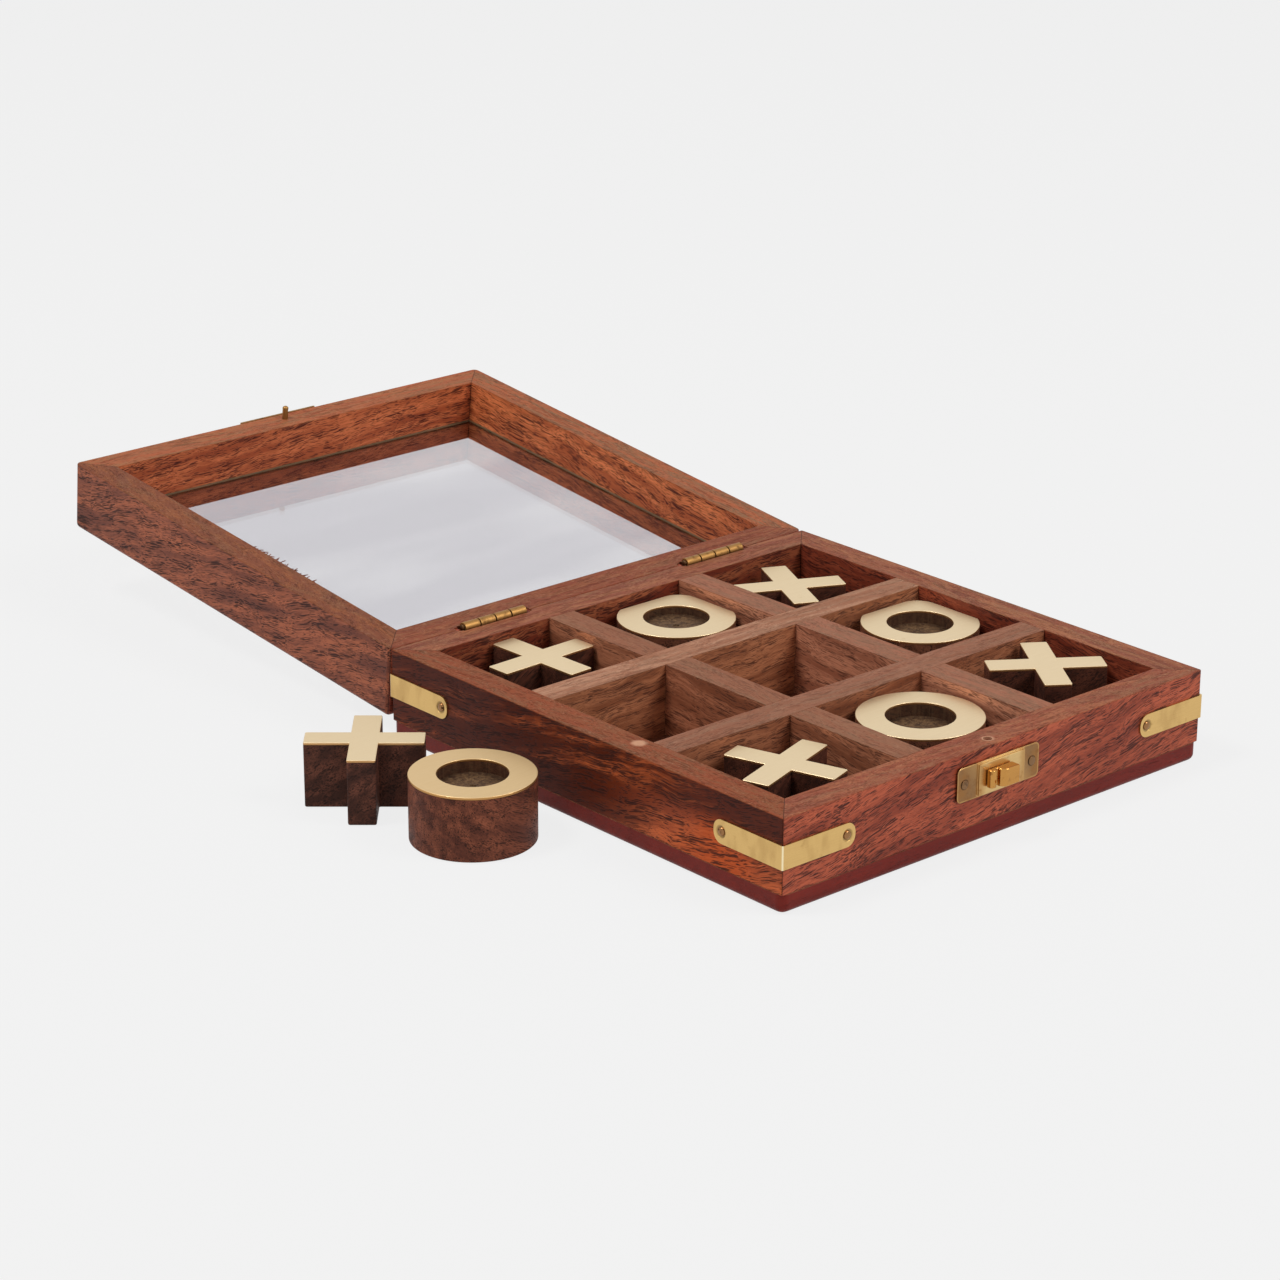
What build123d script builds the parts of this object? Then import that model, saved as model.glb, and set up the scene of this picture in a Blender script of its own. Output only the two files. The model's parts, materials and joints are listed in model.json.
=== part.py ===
from build123d import *
import os
from math import cos, radians, sin

# A hinged, glass-topped wooden box with nine cells and its crosses and rings.
# Millimetres. Origin at the centre of the base's underside, +Z up, -Y is the latch side.

# Box body
box_size = 152.0
wall_thick = 8.9
wall_height = 20.2
wall_corner_radius = 1.0
rim_edge_radius = 0.25
base_thick = 5.3
base_corner_radius = 1.8
base_edge_radius = 1.7
divider_thick = 8.8

# Lid
lid_height = 20.5
lid_rail_thick = 8.9
lid_edge_radius = 1.6
lid_corner_radius = 1.7
lid_open_angle = 174.0
closing_gap = 0.3
glass_thick = 2.0
glass_depth = 13.3
glass_grip = 2.7
glass_side_clearance = 0.3
glass_face_clearance = 0.1

# Hinges
hinge_offset = 40.6
hinge_length = 21.8
hinge_knuckles = 4
knuckle_radius = 1.5
knuckle_gap = 0.35
leaf_thick = 0.45
leaf_height = 6.9
seam_gap = 0.2
leaf_recess_clearance = 0.1
leaf_corner_radius = 0.8
hinge_pin_radius = 0.7
hinge_pin_head_radius = 0.95
hinge_pin_head_length = 0.4
hinge_nail_spacing = 15.0
hinge_nail_drop = 4.4

# Corner straps
strap_leg = 24.0
strap_width = 6.4
strap_thick = 0.4
strap_drop = 10.2
strap_end_radius = 2.8
strap_inner_gap = 0.3
strap_nail_inset = 2.6

# Latch
latch_x = -2.0
latch_drop = 8.0
latch_length = 29.6
latch_width = 9.4
latch_thick = 0.7
latch_corner_radius = 1.4
latch_pad_edge_radius = 0.25
latch_pad_length = 16.5
latch_pad_rise = 0.5
latch_pad_shift = 0.8
latch_nail_offset = 12.2
latch_travel = 3.0
knob_length = 10.0
knob_width = 5.4
knob_rise = 3.0
knob_corner_radius = 1.6
knob_edge_radius = 0.7
knob_groove_width = 0.9
knob_groove_depth = 1.0
knob_groove_offset = 1.9
stem_length = 3.0
stem_width = 2.4
slider_length = 10.0
slider_thick = 2.0
slider_bottom = 11.0
slider_top = 5.0
catch_length = 2.5
catch_thick = 1.0
catch_nose_height = 0.8
catch_nose_clearance = 0.15
latch_spring_length = 5.0
latch_spring_radius = 1.0
latch_spring_wall = 0.3

# Striker on the lid
striker_length = 28.0
striker_width = 8.0
striker_thick = 0.7
striker_nail_offset = 11.0
striker_pin_radius = 0.9
striker_pin_reach = 4.1
striker_pin_root = 5.0
striker_pin_inset = 3.5
striker_pin_head = 1.0
striker_pin_tip_radius = 0.6
striker_notch_height = 1.2
striker_notch_depth = 0.5
striker_hole_clearance = 0.3
striker_hole_spare_depth = 0.8
striker_proud = 0.1

# Nails
nail_head_radius = 1.15
nail_dome_height = 0.35
nail_radius = 0.55
nail_length = 6.0
nail_point_length = 1.2
hinge_nail_dome_height = 0.15

# Game pieces
plate_thick = 0.7
plate_edge_radius = 0.15
cross_play = 7.3
cross_arm = 7.4
cross_height = 17.9
tall_cross_play = 6.7
tall_cross_height = 19.4
loose_cross_gap = 32.4
loose_cross_y = 45.6
cross_corner_radius = 0.4
ring_height = 17.5
ring_play = 5.9
ring_undersize = 0.1
ring_oversize = 0.3
loose_ring_gap = 25.7
loose_ring_y = 9.8
ring_bore_radius = 9.2
ring_flat_corner_radius = 6.0
spur_mark_radius = 0.9
spur_mark_depth = 0.8
piece_edge_radius = 0.3

# Clearances
running_clearance = 0.05
moving_clearance = 0.3
knob_clearance = 0.2

# Heights and faces that follow from the sizes above
half_box = box_size / 2
rim_z = base_thick + wall_height
inner_size = box_size - 2 * wall_thick
cell_size = (inner_size - 2 * divider_thick) / 3
cell_pitch = cell_size + divider_thick
lid_rim_z = rim_z + closing_gap
hinge_axis_y = half_box + seam_gap / 2
hinge_axis_z = rim_z + closing_gap / 2
hinge_axis = Axis((0, hinge_axis_y, hinge_axis_z), (1, 0, 0))
latch_z = rim_z - latch_drop
strap_z = rim_z - strap_drop
sides = {"front": 0, "right": 90, "back": 180, "left": 270}

# Game pieces fit the cells with some play
cross_span = cell_size - cross_play
tall_cross_span = cell_size - tall_cross_play
ring_radius = cell_size / 2 - ring_play / 2
small_ring_radius = ring_radius - ring_undersize
large_ring_radius = ring_radius + ring_oversize


def in_cell(column, row, x_shift, y_shift):
    """Place of a piece that lies off the centre of its cell, columns and rows counted from -1 to 1."""
    return (column * cell_pitch + x_shift, row * cell_pitch + y_shift)


# Where each piece lies, then turn in degrees, span and height for a cross.
# A ring has its radius, how much is sanded off it towards +X and +Y, and its recess depth.
crosses = {
    "cross_front_left": (in_cell(-1, -1, 0.5, 1.2), 18.0, cross_span, cross_height),
    "cross_front_right": (in_cell(1, -1, 2.5, 3.4), -35.0, tall_cross_span, tall_cross_height),
    "cross_back_left": (in_cell(-1, 1, 2.9, 2.9), 2.0, cross_span, cross_height),
    "cross_back_right": (in_cell(1, 1, -2.7, 0.9), -26.0, cross_span, cross_height),
    "cross_loose": ((-half_box - loose_cross_gap, loose_cross_y), -41.0, cross_span, cross_height),
}
rings = {
    "ring_back": (in_cell(0, 1, 3.6, 2.8), ring_radius, 1.8, 2.0, 2.6),
    "ring_right": (in_cell(1, 0, 3.7, 3.4), small_ring_radius, 2.4, 2.0, 3.6),
    "ring_front": (in_cell(0, -1, 1.6, 2.1), large_ring_radius, 0, 0, 3.8),
    "ring_loose": ((-half_box - loose_ring_gap, loose_ring_y), small_ring_radius, 0, 0, 3.6),
}

os.makedirs("parts", exist_ok=True)


def save(part, name):
    """Label a finished piece and write it to its own file."""
    part.label = name
    export_step(part, f"parts/{name}.step")


def swing_open(part):
    """Turn a piece that is drawn on the shut lid to where the open lid holds it."""
    return part.rotate(hinge_axis, -lid_open_angle)


def rest_height(name):
    """Height that a game piece stands on: the cell's floor, or the table if it is loose."""
    return 0.0 if name.endswith("loose") else base_thick


def wedge(turn):
    """Quarter of the box's plan, bounded by the two mitre lines of one side."""
    Polygon((0, 0), (-box_size, -box_size), (box_size, -box_size), rotation=turn, align=None)


def face_plane(turn, distance):
    """Plane parallel to an outer side of the box, its x along the side and its y upwards."""
    direction = radians(turn)
    return Plane(
        origin=(distance * sin(direction), -distance * cos(direction), 0),
        x_dir=(cos(direction), sin(direction), 0),
        z_dir=(sin(direction), -cos(direction), 0),
    )


def nail_places(turns, distance, spots):
    """Locations of nails on the given sides, their heads seated at a distance from the centre."""
    return [face_plane(turn, distance) * Location((u, v, 0)) for turn in turns for u, v in spots]


# Places of all nails, each a head seat on the metal that the nail holds
strap_nail_u = half_box - strap_leg + strap_nail_inset
hinge_nail_u = [
    side * hinge_offset + end * hinge_nail_spacing / 2 for side in (-1, 1) for end in (-1, 1)
]
striker_nail_z = lid_rim_z - striker_proud + striker_width / 2
strap_nail_places = nail_places(
    sides.values(), half_box + strap_thick, [(-strap_nail_u, strap_z), (strap_nail_u, strap_z)]
)
latch_nail_places = nail_places(
    [sides["front"]],
    half_box + latch_thick,
    [(latch_x - latch_nail_offset, latch_z), (latch_x + latch_nail_offset, latch_z)],
)
box_hinge_nail_places = nail_places(
    [sides["back"]], half_box, [(u, hinge_axis_z - hinge_nail_drop) for u in hinge_nail_u]
)
lid_hinge_nail_places = nail_places(
    [sides["back"]], half_box, [(u, hinge_axis_z + hinge_nail_drop) for u in hinge_nail_u]
)
striker_nail_places = nail_places(
    [sides["front"]],
    half_box + striker_thick,
    [(latch_x - striker_nail_offset, striker_nail_z), (latch_x + striker_nail_offset, striker_nail_z)],
)


def nail_bores(places):
    """Cut the bores of nails that are driven in at the given places."""
    with Locations(*places):
        Cylinder(
            nail_radius + running_clearance,
            nail_length + moving_clearance,
            align=(Align.CENTER, Align.CENTER, Align.MAX),
            mode=Mode.SUBTRACT,
        )


def hinge_recesses():
    """Cut the slots that take the hinge barrels and the shallow recesses that take their leaves."""
    with Locations((-hinge_offset, half_box, hinge_axis_z), (hinge_offset, half_box, hinge_axis_z)):
        Box(
            barrel_slot_length,
            2 * barrel_slot_depth,
            2 * (knuckle_radius + moving_clearance),
            mode=Mode.SUBTRACT,
        )
        Box(
            hinge_length + 2 * leaf_recess_clearance,
            2 * leaf_thick,
            2 * (leaf_height + leaf_recess_clearance),
            mode=Mode.SUBTRACT,
        )


# Base board
with BuildPart() as base_board:
    with BuildSketch():
        RectangleRounded(box_size, box_size, base_corner_radius)
    extrude(amount=base_thick)
    fillet(base_board.faces().sort_by(Axis.Z)[0].edges(), radius=base_edge_radius)
save(base_board.part, "base_board")

# Frame of the four walls, with the hinge slots and the latch's pockets, before it is mitred
barrel_slot_depth = half_box - hinge_axis_y + knuckle_radius + moving_clearance
barrel_slot_length = hinge_length + 2 * hinge_pin_head_length + 2 * moving_clearance
pocket_back_y = -half_box + slider_thick + 2 * moving_clearance
pocket_left_x = latch_x - slider_length / 2 - moving_clearance
pocket_right_x = latch_x + slider_length / 2 + latch_spring_length
pocket_bottom_z = rim_z - slider_bottom - moving_clearance
pocket_top_z = rim_z - slider_top + moving_clearance
catch_left_x = latch_x + striker_pin_radius - striker_notch_depth + catch_nose_clearance
catch_top_z = lid_rim_z - striker_pin_reach + striker_pin_head + striker_notch_height / 2 + catch_nose_height / 2
catch_back_y = -half_box + striker_pin_inset + striker_pin_radius - knob_clearance / 2
slider_front_y = -half_box + moving_clearance
slider_back_y = slider_front_y + slider_thick
striker_y = -half_box + striker_pin_inset

with BuildPart() as wall_frame:
    with BuildSketch(Plane.XY.offset(base_thick)):
        RectangleRounded(box_size, box_size, wall_corner_radius)
        Rectangle(inner_size, inner_size, mode=Mode.SUBTRACT)
    extrude(amount=wall_height)
    fillet(wall_frame.faces().sort_by(Axis.Z)[-1].outer_wire().edges(), radius=rim_edge_radius)
    hinge_recesses()
    with Locations((pocket_left_x, -half_box, pocket_bottom_z)):
        Box(
            pocket_right_x - pocket_left_x,
            pocket_back_y + half_box,
            pocket_top_z - pocket_bottom_z,
            align=Align.MIN,
            mode=Mode.SUBTRACT,
        )
    catch_pocket_y = slider_back_y - catch_thick - moving_clearance
    with Locations((catch_left_x - moving_clearance, catch_pocket_y, pocket_top_z)):
        Box(
            catch_length + latch_travel + 2 * moving_clearance,
            catch_back_y + moving_clearance - catch_pocket_y,
            catch_top_z + moving_clearance - pocket_top_z,
            align=Align.MIN,
            mode=Mode.SUBTRACT,
        )
    with BuildSketch(Plane.XY.offset(rim_z)):
        with Locations((latch_x, striker_y)):
            Circle(striker_pin_radius + striker_hole_clearance)
    extrude(amount=-(striker_pin_reach - closing_gap + striker_hole_spare_depth), mode=Mode.SUBTRACT)
    nail_bores(strap_nail_places + latch_nail_places + box_hinge_nail_places)

for side, turn in sides.items():
    with BuildPart() as wall:
        add(wall_frame)
        with BuildSketch(Plane.XY.offset(base_thick)):
            wedge(turn)
        extrude(amount=wall_height, mode=Mode.INTERSECT)
    save(wall.part, f"{side}_wall")

# Dividers, halved into each other where they cross
for name, y in {"long_divider_front": -cell_pitch / 2, "long_divider_back": cell_pitch / 2}.items():
    with BuildPart() as divider:
        with Locations((0, y, base_thick)):
            Box(inner_size, divider_thick, wall_height, align=(Align.CENTER, Align.CENTER, Align.MIN))
        with Locations((-cell_pitch / 2, y, base_thick), (cell_pitch / 2, y, base_thick)):
            Box(
                divider_thick,
                divider_thick,
                wall_height / 2,
                align=(Align.CENTER, Align.CENTER, Align.MIN),
                mode=Mode.SUBTRACT,
            )
    save(divider.part, name)

for name, x in {"cross_divider_left": -cell_pitch / 2, "cross_divider_right": cell_pitch / 2}.items():
    with BuildPart() as divider:
        with Locations((x, 0, base_thick)):
            Box(divider_thick, inner_size, wall_height, align=(Align.CENTER, Align.CENTER, Align.MIN))
        with Locations((x, -cell_pitch / 2, rim_z), (x, cell_pitch / 2, rim_z)):
            Box(
                divider_thick,
                divider_thick,
                wall_height / 2,
                align=(Align.CENTER, Align.CENTER, Align.MAX),
                mode=Mode.SUBTRACT,
            )
    save(divider.part, name)

# Lid frame, drawn shut, with the groove that holds the glass
glass_size = box_size - 2 * lid_rail_thick + 2 * glass_grip

with BuildPart() as lid_frame:
    with BuildSketch(Plane.XY.offset(lid_rim_z)):
        RectangleRounded(box_size, box_size, lid_corner_radius)
        Rectangle(box_size - 2 * lid_rail_thick, box_size - 2 * lid_rail_thick, mode=Mode.SUBTRACT)
    extrude(amount=lid_height)
    fillet(lid_frame.faces().sort_by(Axis.Z)[-1].outer_wire().edges(), radius=lid_edge_radius)
    fillet(lid_frame.faces().sort_by(Axis.Z)[0].outer_wire().edges(), radius=rim_edge_radius)
    with BuildSketch(Plane.XY.offset(lid_rim_z + glass_depth - glass_face_clearance)):
        Rectangle(glass_size + 2 * glass_side_clearance, glass_size + 2 * glass_side_clearance)
    extrude(amount=glass_thick + 2 * glass_face_clearance, mode=Mode.SUBTRACT)
    hinge_recesses()
    with BuildSketch(Plane.XY.offset(lid_rim_z)):
        with Locations((latch_x, striker_y)):
            Circle(striker_pin_radius + running_clearance)
    extrude(amount=striker_pin_root, mode=Mode.SUBTRACT)
    nail_bores(lid_hinge_nail_places + striker_nail_places)

for side, turn in sides.items():
    with BuildPart() as rail:
        add(lid_frame)
        with BuildSketch(Plane.XY.offset(lid_rim_z)):
            wedge(turn)
        extrude(amount=lid_height, mode=Mode.INTERSECT)
    save(swing_open(rail.part), f"lid_{side}_rail")

with BuildPart() as glass_pane:
    with BuildSketch(Plane.XY.offset(lid_rim_z + glass_depth)):
        Rectangle(glass_size, glass_size)
    extrude(amount=glass_thick)
save(swing_open(glass_pane.part), "glass_pane")


def make_nail(dome_height):
    """Nail with a domed head and a point, its head's underside at the origin."""
    with BuildPart() as nail:
        with BuildSketch(Plane.XZ):
            with BuildLine():
                Polyline(
                    (nail_head_radius, 0),
                    (nail_radius, 0),
                    (nail_radius, nail_point_length - nail_length),
                    (0, -nail_length),
                    (0, dome_height),
                )
                TangentArc((0, dome_height), (nail_head_radius, 0), tangent=(1, 0))
            make_face()
        revolve(axis=Axis.Z)
    return nail.part


def save_nails(nail, places, name, finish_piece=lambda part: part):
    """Set copies of a nail at the given places and save them as one group."""
    with BuildPart() as nails:
        with Locations(*places):
            add(nail)
    save(finish_piece(nails.part), name)


domed_nail = make_nail(nail_dome_height)
flat_nail = make_nail(hinge_nail_dome_height)
save_nails(domed_nail, strap_nail_places, "strap_nails")
save_nails(domed_nail, latch_nail_places, "latch_nails")
save_nails(flat_nail, box_hinge_nail_places, "box_hinge_nails")
save_nails(flat_nail, lid_hinge_nail_places, "lid_hinge_nails", swing_open)
save_nails(domed_nail, striker_nail_places, "striker_nails", swing_open)

# Corner straps, each bent round one corner of the box
with BuildPart() as strap_band:
    with BuildSketch(Plane.XY.offset(strap_z - strap_width / 2)):
        RectangleRounded(
            box_size + 2 * strap_thick,
            box_size + 2 * strap_thick,
            wall_corner_radius + strap_thick,
        )
        RectangleRounded(box_size, box_size, wall_corner_radius - strap_inner_gap, mode=Mode.SUBTRACT)
    extrude(amount=strap_width)
    nail_bores(strap_nail_places)

for name, (x_sign, y_sign) in {
    "strap_front_left": (-1, -1),
    "strap_front_right": (1, -1),
    "strap_back_left": (-1, 1),
    "strap_back_right": (1, 1),
}.items():
    with BuildPart() as strap:
        add(strap_band)
        with Locations((x_sign * half_box, y_sign * half_box, strap_z)):
            Box(2 * strap_leg, 2 * strap_leg, strap_width, mode=Mode.INTERSECT)
        leg_ends = strap.edges().filter_by(Axis.X).group_by(SortBy.LENGTH)[0]
        leg_ends += strap.edges().filter_by(Axis.Y).group_by(SortBy.LENGTH)[0]
        fillet(leg_ends, radius=strap_end_radius)
    save(strap.part, name)

# Hinges: leaves nailed to the back faces, their knuckles half sunk in the slots, and their pins
knuckle_pitch = hinge_length / hinge_knuckles
leaf_start = knuckle_radius + moving_clearance


def hinge_leaf(centre_x, direction, own_knuckles):
    """Leaf of a hinge that goes down (-1) on the box or up (1) on the shut lid."""
    leaf_y = half_box - leaf_thick / 2
    with BuildPart() as leaf:
        with Locations((centre_x, leaf_y, hinge_axis_z + direction * (leaf_start + leaf_height) / 2)):
            Box(hinge_length, leaf_thick, leaf_height - leaf_start)
        free_corners = leaf.edges().filter_by(Axis.Y).sort_by(Axis.Z, reverse=direction > 0)[:2]
        fillet(free_corners, radius=leaf_corner_radius)
        for knuckle in own_knuckles:
            knuckle_x = centre_x + (knuckle + 0.5) * knuckle_pitch - hinge_length / 2
            with BuildSketch(Plane.YZ.offset(knuckle_x - (knuckle_pitch - knuckle_gap) / 2)):
                with Locations((leaf_y, hinge_axis_z + direction * leaf_start / 2)):
                    Rectangle(leaf_thick, leaf_start)
                with Locations((hinge_axis_y, hinge_axis_z)):
                    Circle(knuckle_radius)
                    Circle(hinge_pin_radius + running_clearance, mode=Mode.SUBTRACT)
            extrude(amount=knuckle_pitch - knuckle_gap)
        nail_bores(box_hinge_nail_places + lid_hinge_nail_places)
    return leaf.part


for side, x_sign in {"left": -1, "right": 1}.items():
    save(hinge_leaf(x_sign * hinge_offset, -1, (0, 2)), f"hinge_{side}_box_leaf")
    save(swing_open(hinge_leaf(x_sign * hinge_offset, 1, (1, 3))), f"hinge_{side}_lid_leaf")

with BuildPart() as hinge_pins:
    for x_sign in (-1, 1):
        with BuildSketch(Plane.YZ.offset(x_sign * hinge_offset)):
            with Locations((hinge_axis_y, hinge_axis_z)):
                Circle(hinge_pin_radius)
        extrude(amount=hinge_length / 2, both=True)
        for end in (-1, 1):
            with BuildSketch(Plane.YZ.offset(x_sign * hinge_offset + end * hinge_length / 2)):
                with Locations((hinge_axis_y, hinge_axis_z)):
                    Circle(hinge_pin_head_radius)
            extrude(amount=end * hinge_pin_head_length)
save(hinge_pins.part, "hinge_pins")

# Latch plate, with the slot that the knob's stem slides in
latch_face = face_plane(sides["front"], half_box)
latch_front = half_box + latch_thick + latch_pad_rise
slot_x = latch_x + latch_travel / 2

with BuildPart() as latch_plate:
    with BuildSketch(latch_face):
        with Locations((latch_x, latch_z)):
            RectangleRounded(latch_length, latch_width, latch_corner_radius)
    extrude(amount=latch_thick)
    with BuildSketch(latch_face.offset(latch_thick)):
        with Locations((latch_x + latch_pad_shift, latch_z)):
            Rectangle(latch_pad_length, latch_width)
    extrude(amount=latch_pad_rise)
    fillet(latch_plate.faces().sort_by(Axis.Y)[0].edges(), radius=latch_pad_edge_radius)
    with BuildSketch(latch_face):
        with Locations((slot_x, latch_z)):
            Rectangle(
                stem_length + latch_travel + 2 * moving_clearance,
                stem_width + 2 * moving_clearance,
            )
    extrude(amount=latch_thick + latch_pad_rise, mode=Mode.SUBTRACT)
    nail_bores(latch_nail_places)
save(latch_plate.part, "latch_plate")

# Knob, with a groove across its face
with BuildPart() as latch_knob:
    with BuildSketch(face_plane(sides["front"], latch_front + knob_clearance)):
        with Locations((latch_x, latch_z)):
            RectangleRounded(knob_length, knob_width, knob_corner_radius)
    extrude(amount=knob_rise)
    fillet(latch_knob.faces().sort_by(Axis.Y)[0].edges(), radius=knob_edge_radius)
    with Locations((latch_x - knob_groove_offset, -latch_front - knob_clearance - knob_rise, latch_z)):
        Box(knob_groove_width, 2 * knob_groove_depth, knob_width, mode=Mode.SUBTRACT)
save(latch_knob.part, "latch_knob")

# Catch: slider in its pocket, stem out to the knob, arm up to the nose that holds the pin
with BuildPart() as latch_catch:
    with Locations((latch_x, (slider_front_y + slider_back_y) / 2, latch_z)):
        Box(slider_length, slider_thick, slider_bottom - slider_top)
    with BuildSketch(face_plane(sides["front"], -slider_front_y)):
        with Locations((latch_x, latch_z)):
            Rectangle(stem_length, stem_width)
    extrude(amount=latch_front + knob_clearance + slider_front_y)
    with Locations((catch_left_x, slider_back_y - catch_thick, rim_z - slider_top)):
        Box(
            catch_length,
            catch_thick,
            catch_top_z - rim_z + slider_top,
            align=Align.MIN,
        )
    with Locations((catch_left_x, slider_back_y - catch_thick, catch_top_z)):
        Box(
            catch_length,
            catch_back_y - slider_back_y + catch_thick,
            catch_nose_height,
            align=(Align.MIN, Align.MIN, Align.MAX),
        )
save(latch_catch.part, "latch_catch")

# Spring between the slider and the right end of its pocket
with BuildPart() as latch_spring:
    with BuildSketch(Plane.YZ.offset(latch_x + slider_length / 2)):
        with Locations(((slider_front_y + slider_back_y) / 2, latch_z)):
            Circle(latch_spring_radius)
            Circle(latch_spring_radius - latch_spring_wall, mode=Mode.SUBTRACT)
    extrude(amount=latch_spring_length)
save(latch_spring.part, "latch_spring")

# Striker plate and notched pin on the lid's front rail
with BuildPart() as striker_plate:
    with BuildSketch(latch_face):
        with Locations((latch_x, striker_nail_z)):
            RectangleRounded(striker_length, striker_width, latch_corner_radius)
    extrude(amount=striker_thick)
    nail_bores(striker_nail_places)
save(swing_open(striker_plate.part), "striker_plate")

pin_tip_z = lid_rim_z - striker_pin_reach
with BuildPart() as striker_pin:
    with Locations((latch_x, striker_y, pin_tip_z)):
        Cylinder(
            striker_pin_radius,
            striker_pin_reach + striker_pin_root,
            align=(Align.CENTER, Align.CENTER, Align.MIN),
        )
    fillet(striker_pin.edges().sort_by(Axis.Z)[0], radius=striker_pin_tip_radius)
    with Locations((latch_x + striker_pin_radius, striker_y, pin_tip_z + striker_pin_head)):
        Box(
            2 * striker_notch_depth,
            2 * striker_pin_radius,
            striker_notch_height,
            align=(Align.CENTER, Align.CENTER, Align.MIN),
            mode=Mode.SUBTRACT,
        )
save(swing_open(striker_pin.part), "striker_pin")

# Crosses: a wooden body with a metal plate on top
for name, ((x, y), turn, span, height) in crosses.items():
    place = Plane(
        origin=(x, y, rest_height(name)),
        x_dir=(cos(radians(turn)), sin(radians(turn)), 0),
        z_dir=(0, 0, 1),
    )
    with BuildPart() as cross_body:
        with BuildSketch(place) as cross_outline:
            Rectangle(span, cross_arm)
            Rectangle(cross_arm, span)
            arm_corners = cross_outline.vertices().sort_by_distance((0, 0, 0))[4:]
            fillet(arm_corners, radius=cross_corner_radius)
        extrude(amount=height - plate_thick)
        fillet(cross_body.faces().sort_by(Axis.Z)[0].edges(), radius=piece_edge_radius)
    save(cross_body.part, f"{name}_body")
    with BuildPart() as cross_plate:
        with BuildSketch(place.offset(height - plate_thick)):
            add(cross_outline.sketch_local)
        extrude(amount=plate_thick)
        fillet(cross_plate.faces().sort_by(Axis.Z)[-1].edges(), radius=plate_edge_radius)
    save(cross_plate.part, f"{name}_plate")

# Rings: a wooden body with a shallow drilled recess, seen through the plate's round hole
for name, ((x, y), radius, sanded_x, sanded_y, recess_depth) in rings.items():
    place = Plane(origin=(x, y, rest_height(name)))
    with BuildPart() as ring_body:
        with BuildSketch(place) as ring_outline:
            Circle(radius)
            if sanded_x and sanded_y:
                flat_x = radius - sanded_x
                flat_y = radius - sanded_y
                with Locations((flat_x, flat_y)):
                    Rectangle(radius + flat_x, radius + flat_y, align=Align.MAX, mode=Mode.INTERSECT)
                Rectangle(flat_x, flat_y, align=Align.MIN)
                sanded_corner = ring_outline.vertices().sort_by_distance((flat_x, flat_y, 0))[0]
                fillet(sanded_corner, radius=ring_flat_corner_radius)
        extrude(amount=ring_height - plate_thick)
        fillet(ring_body.faces().sort_by(Axis.Z)[0].edges(), radius=piece_edge_radius)
        with BuildSketch(place.offset(ring_height - recess_depth)):
            Circle(ring_bore_radius)
        extrude(amount=recess_depth - plate_thick, mode=Mode.SUBTRACT)
        with Locations(place.offset(ring_height - recess_depth).origin):
            Cone(
                0,
                spur_mark_radius,
                spur_mark_depth,
                align=(Align.CENTER, Align.CENTER, Align.MAX),
                mode=Mode.SUBTRACT,
            )
    save(ring_body.part, f"{name}_body")
    with BuildPart() as ring_plate:
        with BuildSketch(place.offset(ring_height - plate_thick)):
            add(ring_outline.sketch_local)
            Circle(ring_bore_radius, mode=Mode.SUBTRACT)
        extrude(amount=plate_thick)
        fillet(ring_plate.faces().sort_by(Axis.Z)[-1].edges(), radius=plate_edge_radius)
    save(ring_plate.part, f"{name}_plate")
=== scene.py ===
"""Dresses the hinged wooden tic-tac-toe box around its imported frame, in metres."""

import json
import logging
import math
from dataclasses import dataclass, field
from enum import Enum
from typing import Callable, Sequence

import bmesh
import bpy
from mathutils import Matrix, Vector


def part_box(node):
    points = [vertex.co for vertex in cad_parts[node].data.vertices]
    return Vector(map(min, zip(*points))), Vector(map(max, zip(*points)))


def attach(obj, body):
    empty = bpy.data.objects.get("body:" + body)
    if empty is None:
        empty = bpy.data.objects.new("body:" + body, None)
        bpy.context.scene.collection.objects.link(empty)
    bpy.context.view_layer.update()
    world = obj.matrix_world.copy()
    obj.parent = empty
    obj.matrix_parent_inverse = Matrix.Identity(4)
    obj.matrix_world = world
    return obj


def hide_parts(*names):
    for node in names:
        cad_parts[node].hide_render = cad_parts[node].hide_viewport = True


log = logging.getLogger("tic_tac_toe_box")
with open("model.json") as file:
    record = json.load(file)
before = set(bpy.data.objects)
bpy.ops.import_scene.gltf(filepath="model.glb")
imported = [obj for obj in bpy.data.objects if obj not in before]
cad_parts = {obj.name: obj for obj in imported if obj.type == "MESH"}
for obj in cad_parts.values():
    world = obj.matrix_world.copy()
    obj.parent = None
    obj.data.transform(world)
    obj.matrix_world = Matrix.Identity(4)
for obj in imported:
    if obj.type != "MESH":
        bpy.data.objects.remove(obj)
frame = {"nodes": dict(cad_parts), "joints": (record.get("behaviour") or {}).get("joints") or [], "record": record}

Colour = tuple[float, float, float, float]
Point = Sequence[float]

RIGHTWARDS = Vector((1, 0, 0))
BACKWARDS = Vector((0, 1, 0))
UPWARDS = Vector((0, 0, 1))
EXACT = 1e-6
"""Metres within which two places of one mesh are the same."""
NEARLY = 1e-5
"""Metres within which a place meets one that is worked out from other pieces."""
SPARE = 0.001
"""How far a cutter reaches past what it cuts, in metres."""
SRGB_KNEE = 0.04045
"""Value of a screen colour below which its scale is straight."""


def srgb(red: int, green: int, blue: int) -> Colour:
    """Linear colour of an 8-bit screen colour.

    Args:
        red: Red from 0 to 255.
        green: Green from 0 to 255.
        blue: Blue from 0 to 255.

    Returns:
        The opaque linear colour.
    """
    def linear(value: int) -> float:
        """Linear value of one 8-bit channel."""
        share = value / 255
        return share / 12.92 if share <= SRGB_KNEE else ((share + 0.055) / 1.055) ** 2.4
    return (linear(red), linear(green), linear(blue), 1.0)


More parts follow.
